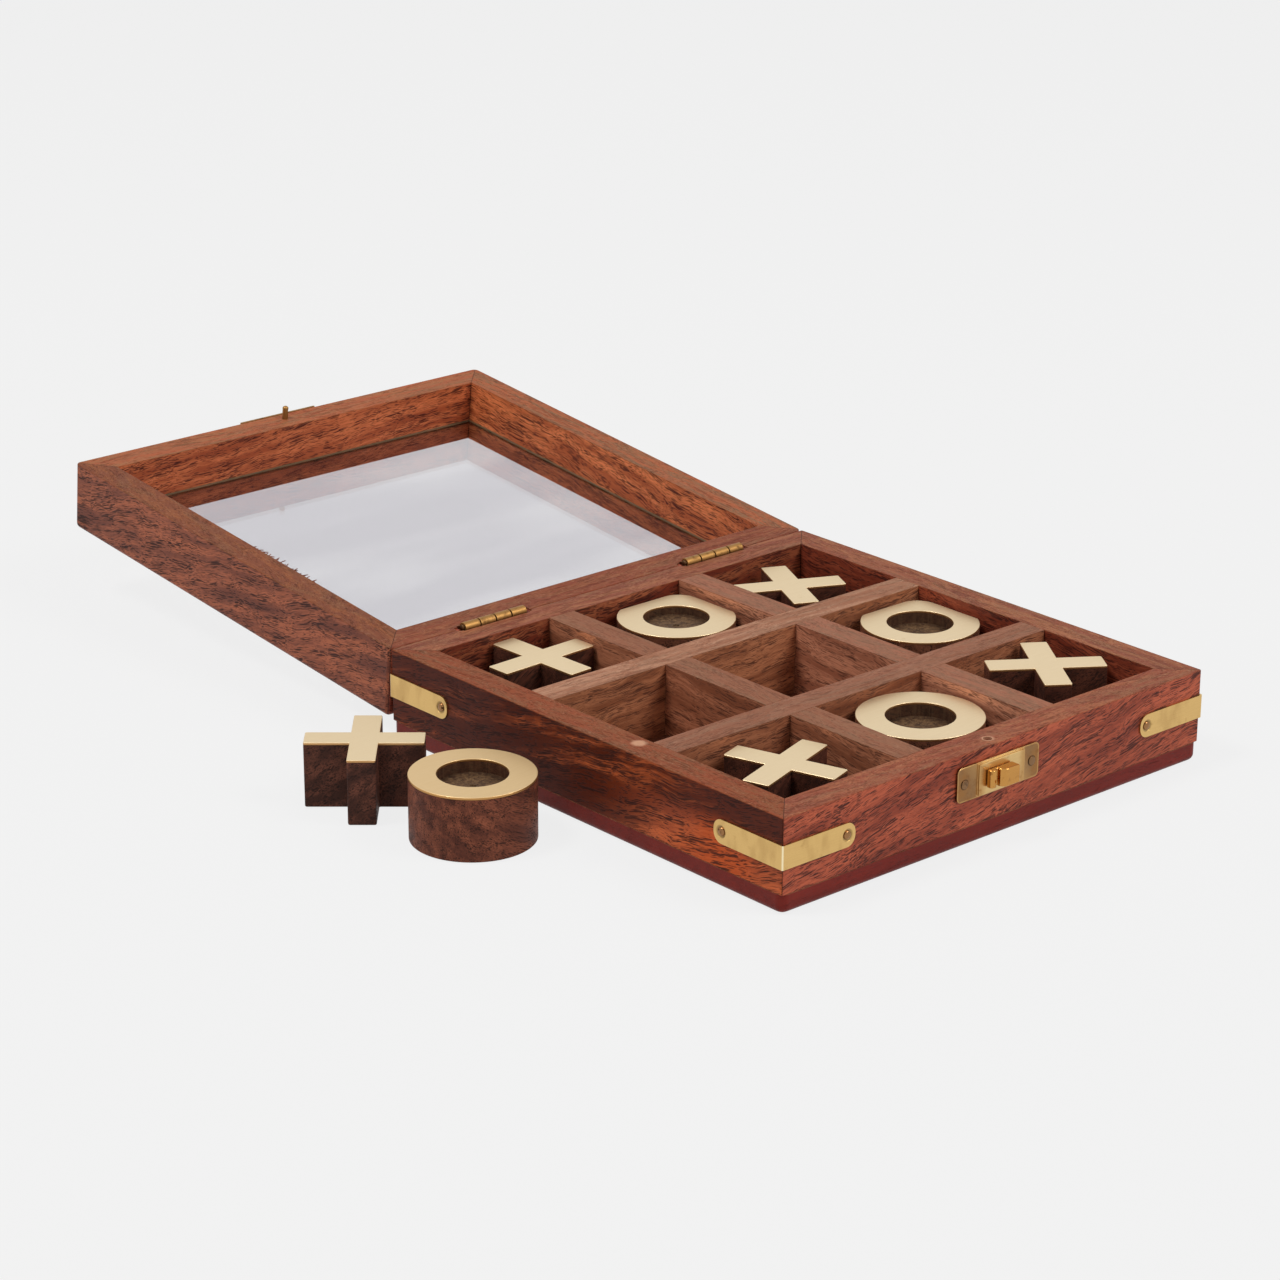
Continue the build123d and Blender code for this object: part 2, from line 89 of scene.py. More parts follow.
class Stain(Enum):
    """Screen colours of marks, joints and wear, and of painted shade and highlights."""

    VEIN = (106, 78, 56)
    FLECK = (200, 158, 124)
    FILLER = (206, 160, 128)
    PUTTY = (98, 92, 66)
    GLUE = (48, 24, 16)
    NAIL_RING = (84, 58, 36)
    RUBBED_BEND = (255, 240, 200)
    PLATE_BORDER = (170, 118, 62)
    NAIL_GAP = (50, 34, 24)
    DRILLED_DARK = (54, 36, 25)
    DRILLED_PALE = (98, 73, 50)
    DRILL_SCORE = (132, 105, 74)
    DRILL_EDGE = (52, 34, 25)

    @property
    def colour(self) -> Colour:
        """The linear colour."""
        return srgb(*self.value)


class Weave(Enum):
    """Features in one metre of a stretched pattern, along X, Y and Z."""

    BANDS = (14, 240, 240)
    FIBRES = (150, 3400, 3400)
    CROWDS = (60, 520, 520)
    LONG_DASHES = (120, 2100, 2100)
    SHORT_DASHES = (260, 3300, 3300)
    STREAKS = (20, 560, 560)
    VEINS = (8, 230, 230)
    SCRATCHES = (160, 6200, 6200)
    RUBS = (240, 240, 110)
    WIPES = (60, 900, 900)
    CLOUDS = (7, 26, 26)


class Grain(Enum):
    """Axis that the fibres run along, with the turn that lays them along X."""

    X = (0.0, 0.0, 0.0)
    Y = (0.0, 0.0, -math.pi / 2)


class Side(Enum):
    """Side of the box, with its outward direction."""

    FRONT = (0.0, -1.0, 0.0)
    RIGHT = (1.0, 0.0, 0.0)
    BACK = (0.0, 1.0, 0.0)
    LEFT = (-1.0, 0.0, 0.0)

    @property
    def out(self) -> Vector:
        """Direction out of the box."""
        return Vector(self.value)

    @property
    def along(self) -> Vector:
        """Direction along this side, with out and up a right-handed set."""
        return UPWARDS.cross(self.out)

    @property
    def grain(self) -> Grain:
        """Fibres run along the side."""
        return Grain.X if self in (Side.FRONT, Side.BACK) else Grain.Y


class Kind(Enum):
    """What an edit chooses."""

    FACE = "FACE"
    EDGE = "EDGE"


def corners_of(points: Sequence[Vector]) -> tuple[Vector, Vector]:
    """Lowest and highest corner of the box round some points."""
    return (Vector([min(point[i] for point in points) for i in range(3)]),
            Vector([max(point[i] for point in points) for i in range(3)]))


class LidHinge:
    """The lid's hinge line and opening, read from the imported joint."""

    joint = next(joint for joint in frame["joints"] if joint["name"] == "lid_hinge")
    axis = Vector(joint["pos_m"])
    angle = math.radians(-joint["range_deg"][0])
    opening = Matrix.Translation(axis) @ Matrix.Rotation(-angle, 4, "X") @ Matrix.Translation(-axis)
    closing = opening.inverted()

    @classmethod
    def shut_box(cls, node: str) -> tuple[Vector, Vector]:
        """Corners of a lid node with the lid turned shut.

        Args:
            node: Name of a node that rides on the lid.

        Returns:
            Lowest and highest corner.
        """
        return corners_of([cls.closing @ vertex.co for vertex in frame["nodes"][node].data.vertices])


class Term:
    """A shader socket that takes part in plain Python arithmetic."""

    def __init__(self, shader: "Shader", socket: bpy.types.NodeSocket) -> None:
        """Wrap an output socket of a shader's tree."""
        self.shader = shader
        self.socket = socket

    def _math(self, operation: str, *values: "Term | float") -> "Term":
        """Add one Math node for an operation on terms and numbers."""
        return self.shader.node("ShaderNodeMath", {"operation": operation}, dict(enumerate(values)))

    def __add__(self, other: "Term | float") -> "Term":
        """Sum."""
        return self._math("ADD", self, other)

    def __sub__(self, other: "Term | float") -> "Term":
        """Difference."""
        return self._math("SUBTRACT", self, other)

    def __mul__(self, other: "Term | float") -> "Term":
        """Product."""
        return self._math("MULTIPLY", self, other)

    def __rsub__(self, other: float) -> "Term":
        """Difference from a number."""
        return self._math("SUBTRACT", other, self)

    __radd__ = __add__

    def power(self, exponent: float) -> "Term":
        """This term raised to an exponent."""
        return self._math("POWER", self, exponent)

    def absolute(self) -> "Term":
        """Size of this term without its sign."""
        return self._math("ABSOLUTE", self)

    def most(self, other: "Term | float") -> "Term":
        """The larger of two terms."""
        return self._math("MAXIMUM", self, other)

    def least(self, other: "Term | float") -> "Term":
        """The smaller of two terms."""
        return self._math("MINIMUM", self, other)

    def ramp(self, low: float, high: float) -> "Term":
        """Smooth step between two values.

        Args:
            low: Value where the step is 0.
            high: Value where the step is 1, which may lie below low.

        Returns:
            The step, from 0 to 1.
        """
        inputs = {"Value": self, "From Min": min(low, high), "From Max": max(low, high)}
        step = self.shader.node("ShaderNodeMapRange", {"interpolation_type": "SMOOTHSTEP"}, inputs)
        return 1 - step if low > high else step


class Shader:
    """Builds the node tree of one material."""

    def __init__(self, name: str) -> None:
        """Start a material with its usual surface shader."""
        self.material = bpy.data.materials.new(name)
        self.material.use_nodes = True
        self.tree = self.material.node_tree
        self.principled = self.tree.nodes["Principled BSDF"]
        self.output = self.tree.nodes["Material Output"]

    def node(self, kind: str, settings: dict | None = None, inputs: dict | None = None,
             out: int | str = 0) -> Term:
        """Add a node.

        Args:
            kind: Node type.
            settings: Attributes set first.
            inputs: Values or terms for its sockets, by name or index.
            out: Output socket, by name or index.

        Returns:
            The output as a term.
        """
        node = self.tree.nodes.new(kind)
        for key, value in (settings or {}).items():
            setattr(node, key, value)
        for key, value in (inputs or {}).items():
            self.put(node.inputs[key], value)
        return Term(self, node.outputs[out])

    def put(self, socket: bpy.types.NodeSocket, value: "Term | float | Sequence[float]") -> None:
        """Link a term to a socket, or set a plain value on it."""
        if isinstance(value, Term):
            self.tree.links.new(value.socket, socket)
        else:
            socket.default_value = value

    def set(self, **sockets: "Term | float | Colour") -> None:
        """Fill the surface's own sockets, named with underscores for spaces."""
        for name, value in sockets.items():
            self.put(self.principled.inputs[name.replace("_", " ")], value)

    def place(self, on_lid: bool = False) -> Term:
        """Object coordinates, turned back to the shut box for a piece of the open lid."""
        place = self.node("ShaderNodeTexCoord", out="Object")
        if not on_lid:
            return place
        return self.mapped(place, LidHinge.closing.translation, (LidHinge.angle, 0, 0))

    def mapped(self, place: Term, move: Point = (0, 0, 0), turn: Point = (0, 0, 0),
               scale: Point = (1, 1, 1)) -> Term:
        """Coordinates that are scaled, then turned, then moved."""
        inputs = {"Vector": place, "Location": move, "Rotation": turn, "Scale": scale}
        return self.node("ShaderNodeMapping", {"vector_type": "POINT"}, inputs, "Vector")

    def split(self, vector: Term) -> list[Term]:
        """The three parts of a vector."""
        node = self.node("ShaderNodeSeparateXYZ", None, {0: vector}).socket.node
        return [Term(self, output) for output in node.outputs]

    def noise(self, vector: Term, scale: float, detail: float = 3.0, rough: float = 0.55,
              out: int | str = 0) -> Term:
        """Smooth noise about 0.5, with features of about one part in scale of a metre."""
        inputs = {"Vector": vector, "Scale": scale, "Detail": detail, "Roughness": rough}
        return self.node("ShaderNodeTexNoise", {"noise_dimensions": "3D"}, inputs, out)

    def stretched(self, vector: Term, weave: Weave, detail: float = 3.0, rough: float = 0.55) -> Term:
        """Noise about 0.5 with features that are longer one way than another."""
        return self.noise(self.mapped(vector, scale=weave.value), 1.0, detail, rough)

    def warp(self, vector: Term, scale: float, reach: float) -> Term:
        """Coordinates pushed about smoothly, by up to about half of reach in metres."""
        push = self.noise(vector, scale, 2.0, 0.5, "Color")
        centred = self.node("ShaderNodeVectorMath", {"operation": "SUBTRACT"},
                            {0: push, 1: (0.5, 0.5, 0.5)}, "Vector")
        inputs = {0: centred, 1: (reach, reach, reach), 2: vector}
        return self.node("ShaderNodeVectorMath", {"operation": "MULTIPLY_ADD"}, inputs, "Vector")

    def cells(self, vector: Term, scale: float = 1.0) -> Term:
        """Distance to the nearest of scattered points."""
        return self.node("ShaderNodeTexVoronoi", {"feature": "F1"}, {"Vector": vector, "Scale": scale},
                         "Distance")

    def mix(self, factor: "Term | float", low: "Term | Colour", high: "Term | Colour") -> Term:
        """Blend two colours."""
        settings = {"data_type": "RGBA", "blend_type": "MIX", "clamp_factor": True}
        return self.node("ShaderNodeMix", settings, {0: factor, 6: low, 7: high}, 2)

    @staticmethod
    def distance(first: Term, second: Term) -> Term:
        """Distance from two offsets at a right angle to each other."""
        return (first * first + second * second).power(0.5)

    def bump(self, height: Term, distance: float, strength: float = 1.0) -> Term:
        """Normal raised by a height of 0 to 1 over a distance in metres."""
        inputs = {"Height": height, "Distance": distance, "Strength": strength}
        return self.node("ShaderNodeBump", None, inputs, "Normal")


@dataclass(frozen=True)
class Tones:
    """Colours and figure of one piece of wood.

    Attributes:
        pale: Colour between the pores.
        deep: Colour of the darker figure.
        pores: Colour of the pore dashes.
        rim: Colour of the sanded faces beyond the rim, or None where there are none.
        density: How much of the surface the dashes cover, from 0 to 1.
        tilt: Slope of the fibres against the board, in degrees.
        shine: How strongly the oiled surface mirrors its surroundings.
        glow: Warm colour that the figure turns to in patches, or None.
        shade: Dark colour of a painted shadow that a side wall turns to upwards and towards its far end, or None.
        marks: Filled or worn spots on the sanded face: x, y and radius.
    """

    pale: Colour = srgb(162, 80, 54)
    deep: Colour = srgb(114, 48, 32)
    pores: Colour = srgb(56, 20, 15)
    rim: Colour | None = None
    density: float = 0.55
    tilt: float = 5.0
    shine: float = 0.15
    glow: Colour | None = None
    shade: Colour | None = None
    marks: tuple[tuple[float, float, float], ...] = ()


@dataclass(frozen=True)
class Wood:
    """Open-pored hardwood: bands of figure, fine fibres, dark pore dashes and a worn lacquer.

    Attributes:
        name: Name of the finish.
        tones: Its colours and figure.
        gloss: Roughness of the surface.
        coat: Weight of the lacquer.
        seed: Offset that gives each board its own figure, in metres.
        grain: Direction of the fibres.
        sway: How far the fibres wander to the sides, in metres.
        contrast: Strength of the figure and the pores.
        on_lid: Whether the board belongs to the open lid.
        rim_height: Height of the sanded faces on the shut box.
        mitre: Whether dark joint lines run where the mitres are.
        putty: Height of the bead that seals the pane, or 0 where there is none.
        inner: Distance of the faces with the bead from the middle of the box.
        painted_shade_run: Where a wall's painted shadow begins and is full along Y.
        painted_shade_rise: Where it begins and is full in height.
    """

    name: str
    tones: Tones
    gloss: float = 0.4
    coat: float = 0.04
    seed: float = 0.0
    grain: Grain = Grain.X
    sway: float = 0.006
    contrast: float = 1.0
    on_lid: bool = False
    rim_height: float = 0.0
    mitre: bool = False
    putty: float = 0.0
    inner: float = 0.0671
    painted_shade_run: tuple[float, float] = (-0.045, -0.005)
    painted_shade_rise: tuple[float, float] = (0.014, 0.0205)

    def figure(self, shader: Shader, place: Term) -> tuple[Term, Term, Term, Term]:
        """Lay out the grain.

        Args:
            shader: The shader that is being built.
            place: Coordinates on the shut box.

        Returns:
            Bands, fibres and pores from 0 to 1, and the grain's own coordinates.
        """
        tones = self.tones
        seeded = shader.mapped(place, (self.seed, self.seed * 0.7, self.seed * 1.3))
        laid = shader.mapped(seeded, turn=self.grain.value)
        sloped = shader.mapped(laid, turn=(0, math.radians(tones.tilt), math.radians(tones.tilt * 0.3)))
        along = shader.warp(shader.warp(sloped, 34.0, self.sway), 120.0, self.sway * 0.24)
        bands = shader.stretched(along, Weave.BANDS, 4.0, 0.62)
        fibres = shader.stretched(along, Weave.FIBRES, 4.0, 0.7)
        crowd = shader.stretched(along, Weave.CROWDS, 3.0, 0.6) - 0.5
        long_dashes = shader.cells(shader.mapped(along, scale=Weave.LONG_DASHES.value))
        short_dashes = shader.cells(shader.mapped(along, (0.4, 0.7, 0.2), scale=Weave.SHORT_DASHES.value))
        reach = 0.16 + 0.28 * tones.density
        long_pores = (long_dashes - crowd).ramp(reach + 0.06, reach - 0.08)
        short_pores = (short_dashes - crowd).ramp(reach + 0.14, reach - 0.04) * 0.8
        return bands, fibres, long_pores.most(short_pores), along

    def make(self) -> bpy.types.Material:
        """Build the material."""
        shader, tones = Shader(self.name), self.tones
        place = shader.place(self.on_lid)
        bands, fibres, pores, along = self.figure(shader, place)
        body = shader.mix(bands.ramp(0.36, 0.64) * self.contrast, tones.pale, tones.deep)
        body = shader.mix(fibres.ramp(0.46, 0.62) * 0.75 * self.contrast, body, tones.deep)
        clouds = shader.noise(along, 26.0, 3.0)
        body = shader.mix(clouds.ramp(0.5, 0.75) * 0.45, body, tones.deep)
        if tones.glow is not None:
            warm = shader.noise(along, 17.0, 2.0)
            body = shader.mix(warm.ramp(0.5, 0.7) * 0.75, body, tones.glow)
        # Painted shadow: the wall darkens upwards and towards its far end, where shade falls on it.
        if tones.shade is not None:
            _, y, z = shader.split(place)
            darker = (y.ramp(*self.painted_shade_run) * 0.9).most(z.ramp(*self.painted_shade_rise) * 0.95)
            body = shader.mix(darker * bands.ramp(0.2, 0.5), body, tones.shade)
        colour = shader.mix((pores * 0.9 * self.contrast).least(0.95), body, tones.pores)
        dust = shader.noise(place, 240.0, 4.0)
        roughness = self.gloss + (dust - 0.5) * 0.22 + pores * 0.16
        height = (1 - pores) * 0.65 + fibres * 0.35
        if tones.rim is not None:
            colour, roughness = self.sanded(shader, place, along, fibres, pores, colour, roughness)
        if self.mitre:
            colour = self.joint_line(shader, place, colour)
        if self.putty > 0:
            colour = self.sealed(shader, place, colour)
        colour = self.worn(shader, place, colour)
        shader.set(Base_Color=colour, Roughness=roughness, Normal=shader.bump(height, 0.00012, 0.5),
                   Specular_IOR_Level=tones.shine, Coat_Weight=self.coat, Coat_Roughness=0.22)
        return shader.material

    def worn(self, shader: Shader, place: Term, colour: Term) -> Term:
        """Colour with the marks of one kind of piece, which a plain board doesn't have."""
        return colour

    def sanded(self, shader: Shader, place: Term, along: Term, fibres: Term, pores: Term,
               colour: Term, roughness: Term) -> tuple[Term, Term]:
        """Paler, matt wood on the faces that meet when the lid is shut, with worn marks."""
        tones = self.tones
        height = shader.split(place)[2]
        above = (height - self.rim_height) * (-1 if self.on_lid else 1)
        ragged = (fibres - 0.5) * 0.0003
        near = (above + ragged).ramp(-0.00032, -0.00008)
        flecks = shader.noise(place, 900.0, 3.0, 0.7)
        streaks = shader.stretched(along, Weave.STREAKS, 3.0, 0.6)
        veins = shader.stretched(along, Weave.VEINS, 2.0, 0.5)
        plain = shader.mix(veins.ramp(0.44, 0.62) * 0.4, tones.rim, Stain.VEIN.colour)
        plain = shader.mix(streaks.ramp(0.38, 0.62) * 0.6, plain, tones.deep)
        plain = shader.mix(fibres.ramp(0.46, 0.62) * 0.6, plain, tones.deep)
        plain = shader.mix(pores * 0.45, plain, tones.pores)
        plain = shader.mix(flecks.ramp(0.54, 0.7) * 0.12, plain, Stain.FLECK.colour)
        colour = shader.mix(near, colour, plain)
        for mark_x, mark_y, size in tones.marks:
            away = shader.node("ShaderNodeVectorMath", {"operation": "DISTANCE"},
                               {0: place, 1: (mark_x, mark_y, self.rim_height)}, "Value")
            patch = (away + (flecks - 0.5) * 0.0012).ramp(size, size * 0.45)
            colour = shader.mix(patch * 0.6, colour, Stain.FILLER.colour)
        return colour, roughness + near * 0.22

    def sealed(self, shader: Shader, place: Term, colour: Term) -> Term:
        """Olive bead along the inner faces where the pane is let in."""
        x, y, z = shader.split(place)
        inside = x.absolute().most(y.absolute()).ramp(self.inner + 0.00025, self.inner + 0.0001)
        bead = (z - self.putty).ramp(-0.00075, -0.00055) * (z - self.putty).ramp(0.0001, 0.0)
        return shader.mix(inside * bead * 0.8, colour, Stain.PUTTY.colour)

    def joint_line(self, shader: Shader, place: Term, colour: Term) -> Term:
        """Thin dark glue line where two boards meet in a mitre."""
        x, y, _ = shader.split(place)
        off_line = (x.absolute() - y.absolute()).absolute()
        return shader.mix(off_line.ramp(0.00024, 0.00008) * 0.7, colour, Stain.GLUE.colour)


@dataclass(frozen=True)
class Brass:
    """Rolled or stamped brass with fine scratches, stains and a darker tarnish.

    Attributes:
        name: Name of the finish.
        bright: Colour of the clean metal.
        dull: Colour of the tarnish.
        stains: How much of the surface is tarnished, from 0 to 1.
        gloss: Roughness of the clean metal.
        metal: Metallic share; a lacquered, softly lit sheet reads a little less than 1.
        stain_size: Stains in one metre.
    """

    name: str
    bright: Colour
    dull: Colour
    stains: float = 0.3
    gloss: float = 0.3
    metal: float = 1.0
    stain_size: float = 210.0

    def make(self) -> bpy.types.Material:
        """Build the material."""
        shader = Shader(self.name)
        place = shader.place()
        lines = shader.stretched(place, Weave.SCRATCHES, 3.0, 0.6)
        blots = shader.noise(place, self.stain_size, 4.0, 0.62)
        specks = shader.cells(place, 640.0)
        edge = 0.72 - 0.3 * self.stains
        tarnish = blots.ramp(edge, edge + 0.2)
        spots = specks.ramp(0.12, 0.05) * shader.noise(place, 90.0).ramp(0.54, 0.62)
        mask = (tarnish + spots * 0.6).least(1.0)
        colour = shader.mix(mask * 0.6, self.bright, self.dull)
        colour = shader.mix(lines.ramp(0.35, 0.75) * 0.12, colour, self.dull)
        colour = self.worn(shader, place, colour)
        roughness = self.gloss + mask * 0.2 + (lines - 0.5) * 0.16
        normal = shader.bump(lines * 0.6 + blots * 0.4, 0.00003, 0.3)
        shader.set(Base_Color=colour, Roughness=roughness, Metallic=self.metal, Normal=normal)
        return shader.material

    def worn(self, shader: Shader, place: Term, colour: Term) -> Term:
        """Colour with the wear of one kind of fitting, which plain brass doesn't have."""
        return colour


@dataclass(frozen=True)
class PieceBrass(Brass):
    """Brass of a game piece's plate: creamy and brushed on top, golden on its cut edge.

    Attributes:
        top: Height of the plate's upper face.
        edge: Colour of the cut edge.
    """

    top: float = 0.0
    edge: Colour = srgb(178, 122, 58)

    def worn(self, shader: Shader, place: Term, colour: Term) -> Term:
        """Gild the cut edge."""
        below = (shader.split(place)[2] - self.top).ramp(-0.00003, -0.00014)
        return shader.mix(below * 0.8, colour, self.edge)


@dataclass(frozen=True)
class StrapBrass(Brass):
    """Brass of the corner straps: painted highlight on the bend, painted shade in the hollows round the nails.

    Attributes:
        half: Half of the box's outer size.
        nail: Each nail's distance from the box's middle along its leg, and its height.
        ring: Radii at which the painted shade in the hollow round a nail ends and is full.
    """

    half: float = 0.076
    nail: tuple[float, float] = (0.055, 0.0153)
    ring: tuple[float, float] = (0.0019, 0.0013)

    def worn(self, shader: Shader, place: Term, colour: Term) -> Term:
        """Add the rubbed streaks, the painted shade in the hollows round the nails and the painted highlight on
        the bend.
        """
        x, y, z = shader.split(place)
        along = x.absolute().least(y.absolute())
        rubs = shader.stretched(place, Weave.RUBS, 2.0, 0.5)
        colour = shader.mix(rubs.ramp(0.42, 0.7) * 0.3, colour, self.dull)
        # Painted shade: the hollow round each nail darkens.
        away = shader.distance(along - self.nail[0], z - self.nail[1])
        colour = shader.mix(away.ramp(*self.ring) * 0.6, colour, Stain.NAIL_RING.colour)
        # Painted highlight: a bright line down the bend, where the lamps would glint.
        bend = along.ramp(self.half - 0.00005, self.half + 0.0002)
        return shader.mix(bend * 0.85, colour, Stain.RUBBED_BEND.colour)


@dataclass(frozen=True)
class PlateBrass(Brass):
    """Brass of the latch plate, rubbed bright in the middle and dull at its ends.

    Attributes:
        ends: Colour of the dull ends.
        middle: Middle of the bright pad along X.
        half_pad: Half of its length.
        floor: Place of the flat between the rolled edges along Y.
        nails: X and Z of each nail.
        nail_radius: Radius of their heads.
    """

    ends: Colour = srgb(150, 112, 80)
    middle: float = 0.0
    half_pad: float = 0.008
    floor: float = -0.07658
    nails: tuple[tuple[float, float], ...] = ()
    nail_radius: float = 0.00115

    def worn(self, shader: Shader, place: Term, colour: Term) -> Term:
        """Darken the border of the pad, the ends and the gaps round the nails."""
        x, y, z = shader.split(place)
        cloud = (shader.noise(place, 300.0, 3.0) - 0.5) * 0.002
        away = (x - self.middle).absolute() + cloud
        end = away.ramp(self.half_pad - 0.0002, self.half_pad + 0.0008)
        rolled = (y - self.floor).ramp(0.00003, -0.00006)
        dull = shader.mix(shader.noise(place, 160.0, 3.0).ramp(0.35, 0.7), self.ends, self.dull)
        border = away.ramp(self.half_pad - 0.0026, self.half_pad - 0.0006)
        colour = shader.mix(border * 0.55, colour, Stain.PLATE_BORDER.colour)
        colour = shader.mix(end * (1 - rolled * 0.8), colour, dull)
        for nail_x, nail_z in self.nails:
            off = shader.distance(x - nail_x, z - nail_z)
            gap = off.ramp(self.nail_radius + 0.0004, self.nail_radius + 0.0001)
            colour = shader.mix(gap * 0.7, colour, Stain.NAIL_GAP.colour)
        return colour


@dataclass(frozen=True)
class Glass:
    """Float glass with a faint lilac colour, greyed as painted shade of the floor seen through it, and faint wipe
    marks.

    Attributes:
        name: Name of the finish.
        tint: Colour of what is seen through the pane: painted shade that greys the floor beneath.
        clear: The same painted shade, paler, in soft bands across the pane.
    """

    name: str
    tint: Colour
    clear: Colour = srgb(226, 225, 229)

    def make(self) -> bpy.types.Material:
        """Build the material."""
        shader = Shader(self.name)
        place = shader.place(True)
        wipes = shader.stretched(place, Weave.WIPES)
        haze = shader.noise(place, 35.0, 3.0)
        cloud = shader.stretched(place, Weave.CLOUDS, 2.0, 0.5)
        # Painted shade: the pane greys what shows through it, paler in soft bands.
        seen = shader.mix(cloud.ramp(0.42, 0.62), self.tint, self.clear)
        shader.set(Base_Color=seen, Roughness=haze.ramp(0.4, 0.8) * wipes.ramp(0.4, 0.8) * 0.06,
                   IOR=1.5, Transmission_Weight=1.0)
        return shader.material


class Bench:
    """Modelling moves on one mesh, each a Blender operator on parts chosen in code."""

    def __init__(self, piece: bpy.types.Object) -> None:
        """Take a mesh object to the bench."""
        self.piece = piece

    @staticmethod
    def clear() -> None:
        """Leave edit mode with nothing selected."""
        if bpy.context.object is not None and bpy.context.object.mode != "OBJECT":
            bpy.ops.object.mode_set(mode="OBJECT")
        bpy.ops.object.select_all(action="DESELECT")

    @classmethod
    def begun(cls, name: str) -> "Bench":
        """Take the shape that was just added to the bench, with its object at the origin."""
        bpy.ops.object.transform_apply(location=True, rotation=True, scale=True)
        bpy.context.object.name = bpy.context.object.data.name = name
        return cls(bpy.context.object)

    @classmethod
    def block(cls, name: str, low: Point, high: Point) -> "Bench":
        """Start from a block between two corners."""
        cls.clear()
        low, high = Vector(low), Vector(high)
        bpy.ops.mesh.primitive_cube_add(size=1.0, location=(low + high) / 2, scale=high - low)
        return cls.begun(name)

    @classmethod
    def round_bar(cls, name: str, low: Point, high: Point, radius: float, sides: int = 32) -> "Bench":
        """Start from a round bar between the middles of its two ends."""
        cls.clear()
        low, high = Vector(low), Vector(high)
        turn = (high - low).to_track_quat("Z", "Y").to_euler()
        bpy.ops.mesh.primitive_cylinder_add(vertices=sides, radius=radius, depth=(high - low).length,
                                            location=(low + high) / 2, rotation=turn)
        return cls.begun(name)

    @classmethod
    def ball(cls, name: str, centre: Point, scale: Point, sides: int = 24) -> "Bench":
        """Start from a round ball that may be flattened."""
        cls.clear()
        bpy.ops.mesh.primitive_uv_sphere_add(segments=sides, ring_count=sides // 2, radius=1.0,
                                             location=centre, scale=scale)
        return cls.begun(name)

    def enter(self) -> bpy.types.Object:
        """Make this the only selected piece."""
        self.clear()
        self.piece.select_set(True)
        bpy.context.view_layer.objects.active = self.piece
        return self.piece

    def choose(self, kind: Kind, test: Callable[[Vector, Vector], bool]) -> "Bench":
        """Select faces or edges in edit mode.

        Args:
            kind: Faces or edges.
            test: Gets a face's centre and normal, or an edge's two ends.

        Returns:
            This bench.
        """
        self.enter()
        bpy.ops.object.mode_set(mode="EDIT")
        bpy.ops.mesh.select_mode(type=kind.value)
        bpy.ops.mesh.select_all(action="DESELECT")
        work = bmesh.from_edit_mesh(self.piece.data)
        if kind is Kind.FACE:
            for face in work.faces:
                face.select_set(test(face.calc_center_median(), face.normal))
        else:
            for edge in work.edges:
                edge.select_set(test(edge.verts[0].co, edge.verts[1].co))
        bmesh.update_edit_mesh(self.piece.data)
        return self

    def bevel(self, width: float, segments: int = 3) -> "Bench":
        """Round the chosen edges."""
        bpy.ops.mesh.bevel(offset=width, offset_type="OFFSET", segments=segments, profile=0.5,
                           affect="EDGES", clamp_overlap=True)
        self.clear()
        return self

    def soften(self, width: float, segments: int = 3, angle: float = 50.0) -> "Bench":
        """Round every edge that is sharper than an angle in degrees."""
        self.enter()
        modifier = self.piece.modifiers.new("wear", "BEVEL")
        modifier.width = width
        modifier.segments = segments
        modifier.limit_method = "ANGLE"
        modifier.angle_limit = math.radians(angle)
        modifier.use_clamp_overlap = True
        bpy.ops.object.modifier_apply(modifier=modifier.name)
        return self

    def slice(self, point: Point, normal: Point, keep_all: bool = False) -> "Bench":
        """Cut along a plane.

        Args:
            point: Any point of the plane.
            normal: Direction square to it.
            keep_all: Whether only a line of edges is added, with nothing sawn off.

        Returns:
            This bench, with the part beyond the plane sawn off and the cut closed.
        """
        self.enter()
        bpy.ops.object.mode_set(mode="EDIT")
        bpy.ops.mesh.select_all(action="SELECT")
        bpy.ops.mesh.bisect(plane_co=point, plane_no=normal, use_fill=not keep_all,
                            clear_outer=not keep_all, threshold=1e-7)
        self.clear()
        return self

    def push(self, offset: Point) -> "Bench":
        """Extrude the chosen faces by an offset."""
        bpy.ops.mesh.extrude_region_move(TRANSFORM_OT_translate={"value": tuple(offset)})
        self.clear()
        return self

    def inset(self, width: float, depth: float) -> "Bench":
        """Inset the chosen faces and sink them."""
        bpy.ops.mesh.inset(thickness=width, depth=-depth)
        self.clear()
        return self

    def boolean(self, other: "Bench", operation: str) -> "Bench":
        """Combine with another piece, which is used up."""
        self.enter()
        modifier = self.piece.modifiers.new("joinery", "BOOLEAN")
        modifier.operation = operation
        modifier.solver = "EXACT"
        modifier.object = other.piece
        bpy.ops.object.modifier_apply(modifier=modifier.name)
        bpy.data.meshes.remove(other.piece.data)
        return self

    def carve(self, *cutters: "Bench") -> "Bench":
        """Cut other shapes out of this one."""
        for cutter in cutters:
            self.boolean(cutter, "DIFFERENCE")
        return self

    def join(self, *others: "Bench") -> "Bench":
        """Put separate shells into one mesh."""
        self.enter()
        for other in others:
            other.piece.select_set(True)
        bpy.ops.object.join()
        return self

    def wrap(self) -> "Bench":
        """Keep only the tight skin round the whole mesh."""
        self.choose(Kind.FACE, lambda place, normal: True)
        bpy.ops.mesh.convex_hull(join_triangles=True)
        bpy.ops.mesh.select_all(action="SELECT")
        bpy.ops.mesh.dissolve_limited(angle_limit=math.radians(0.5))
        self.clear()
        return self

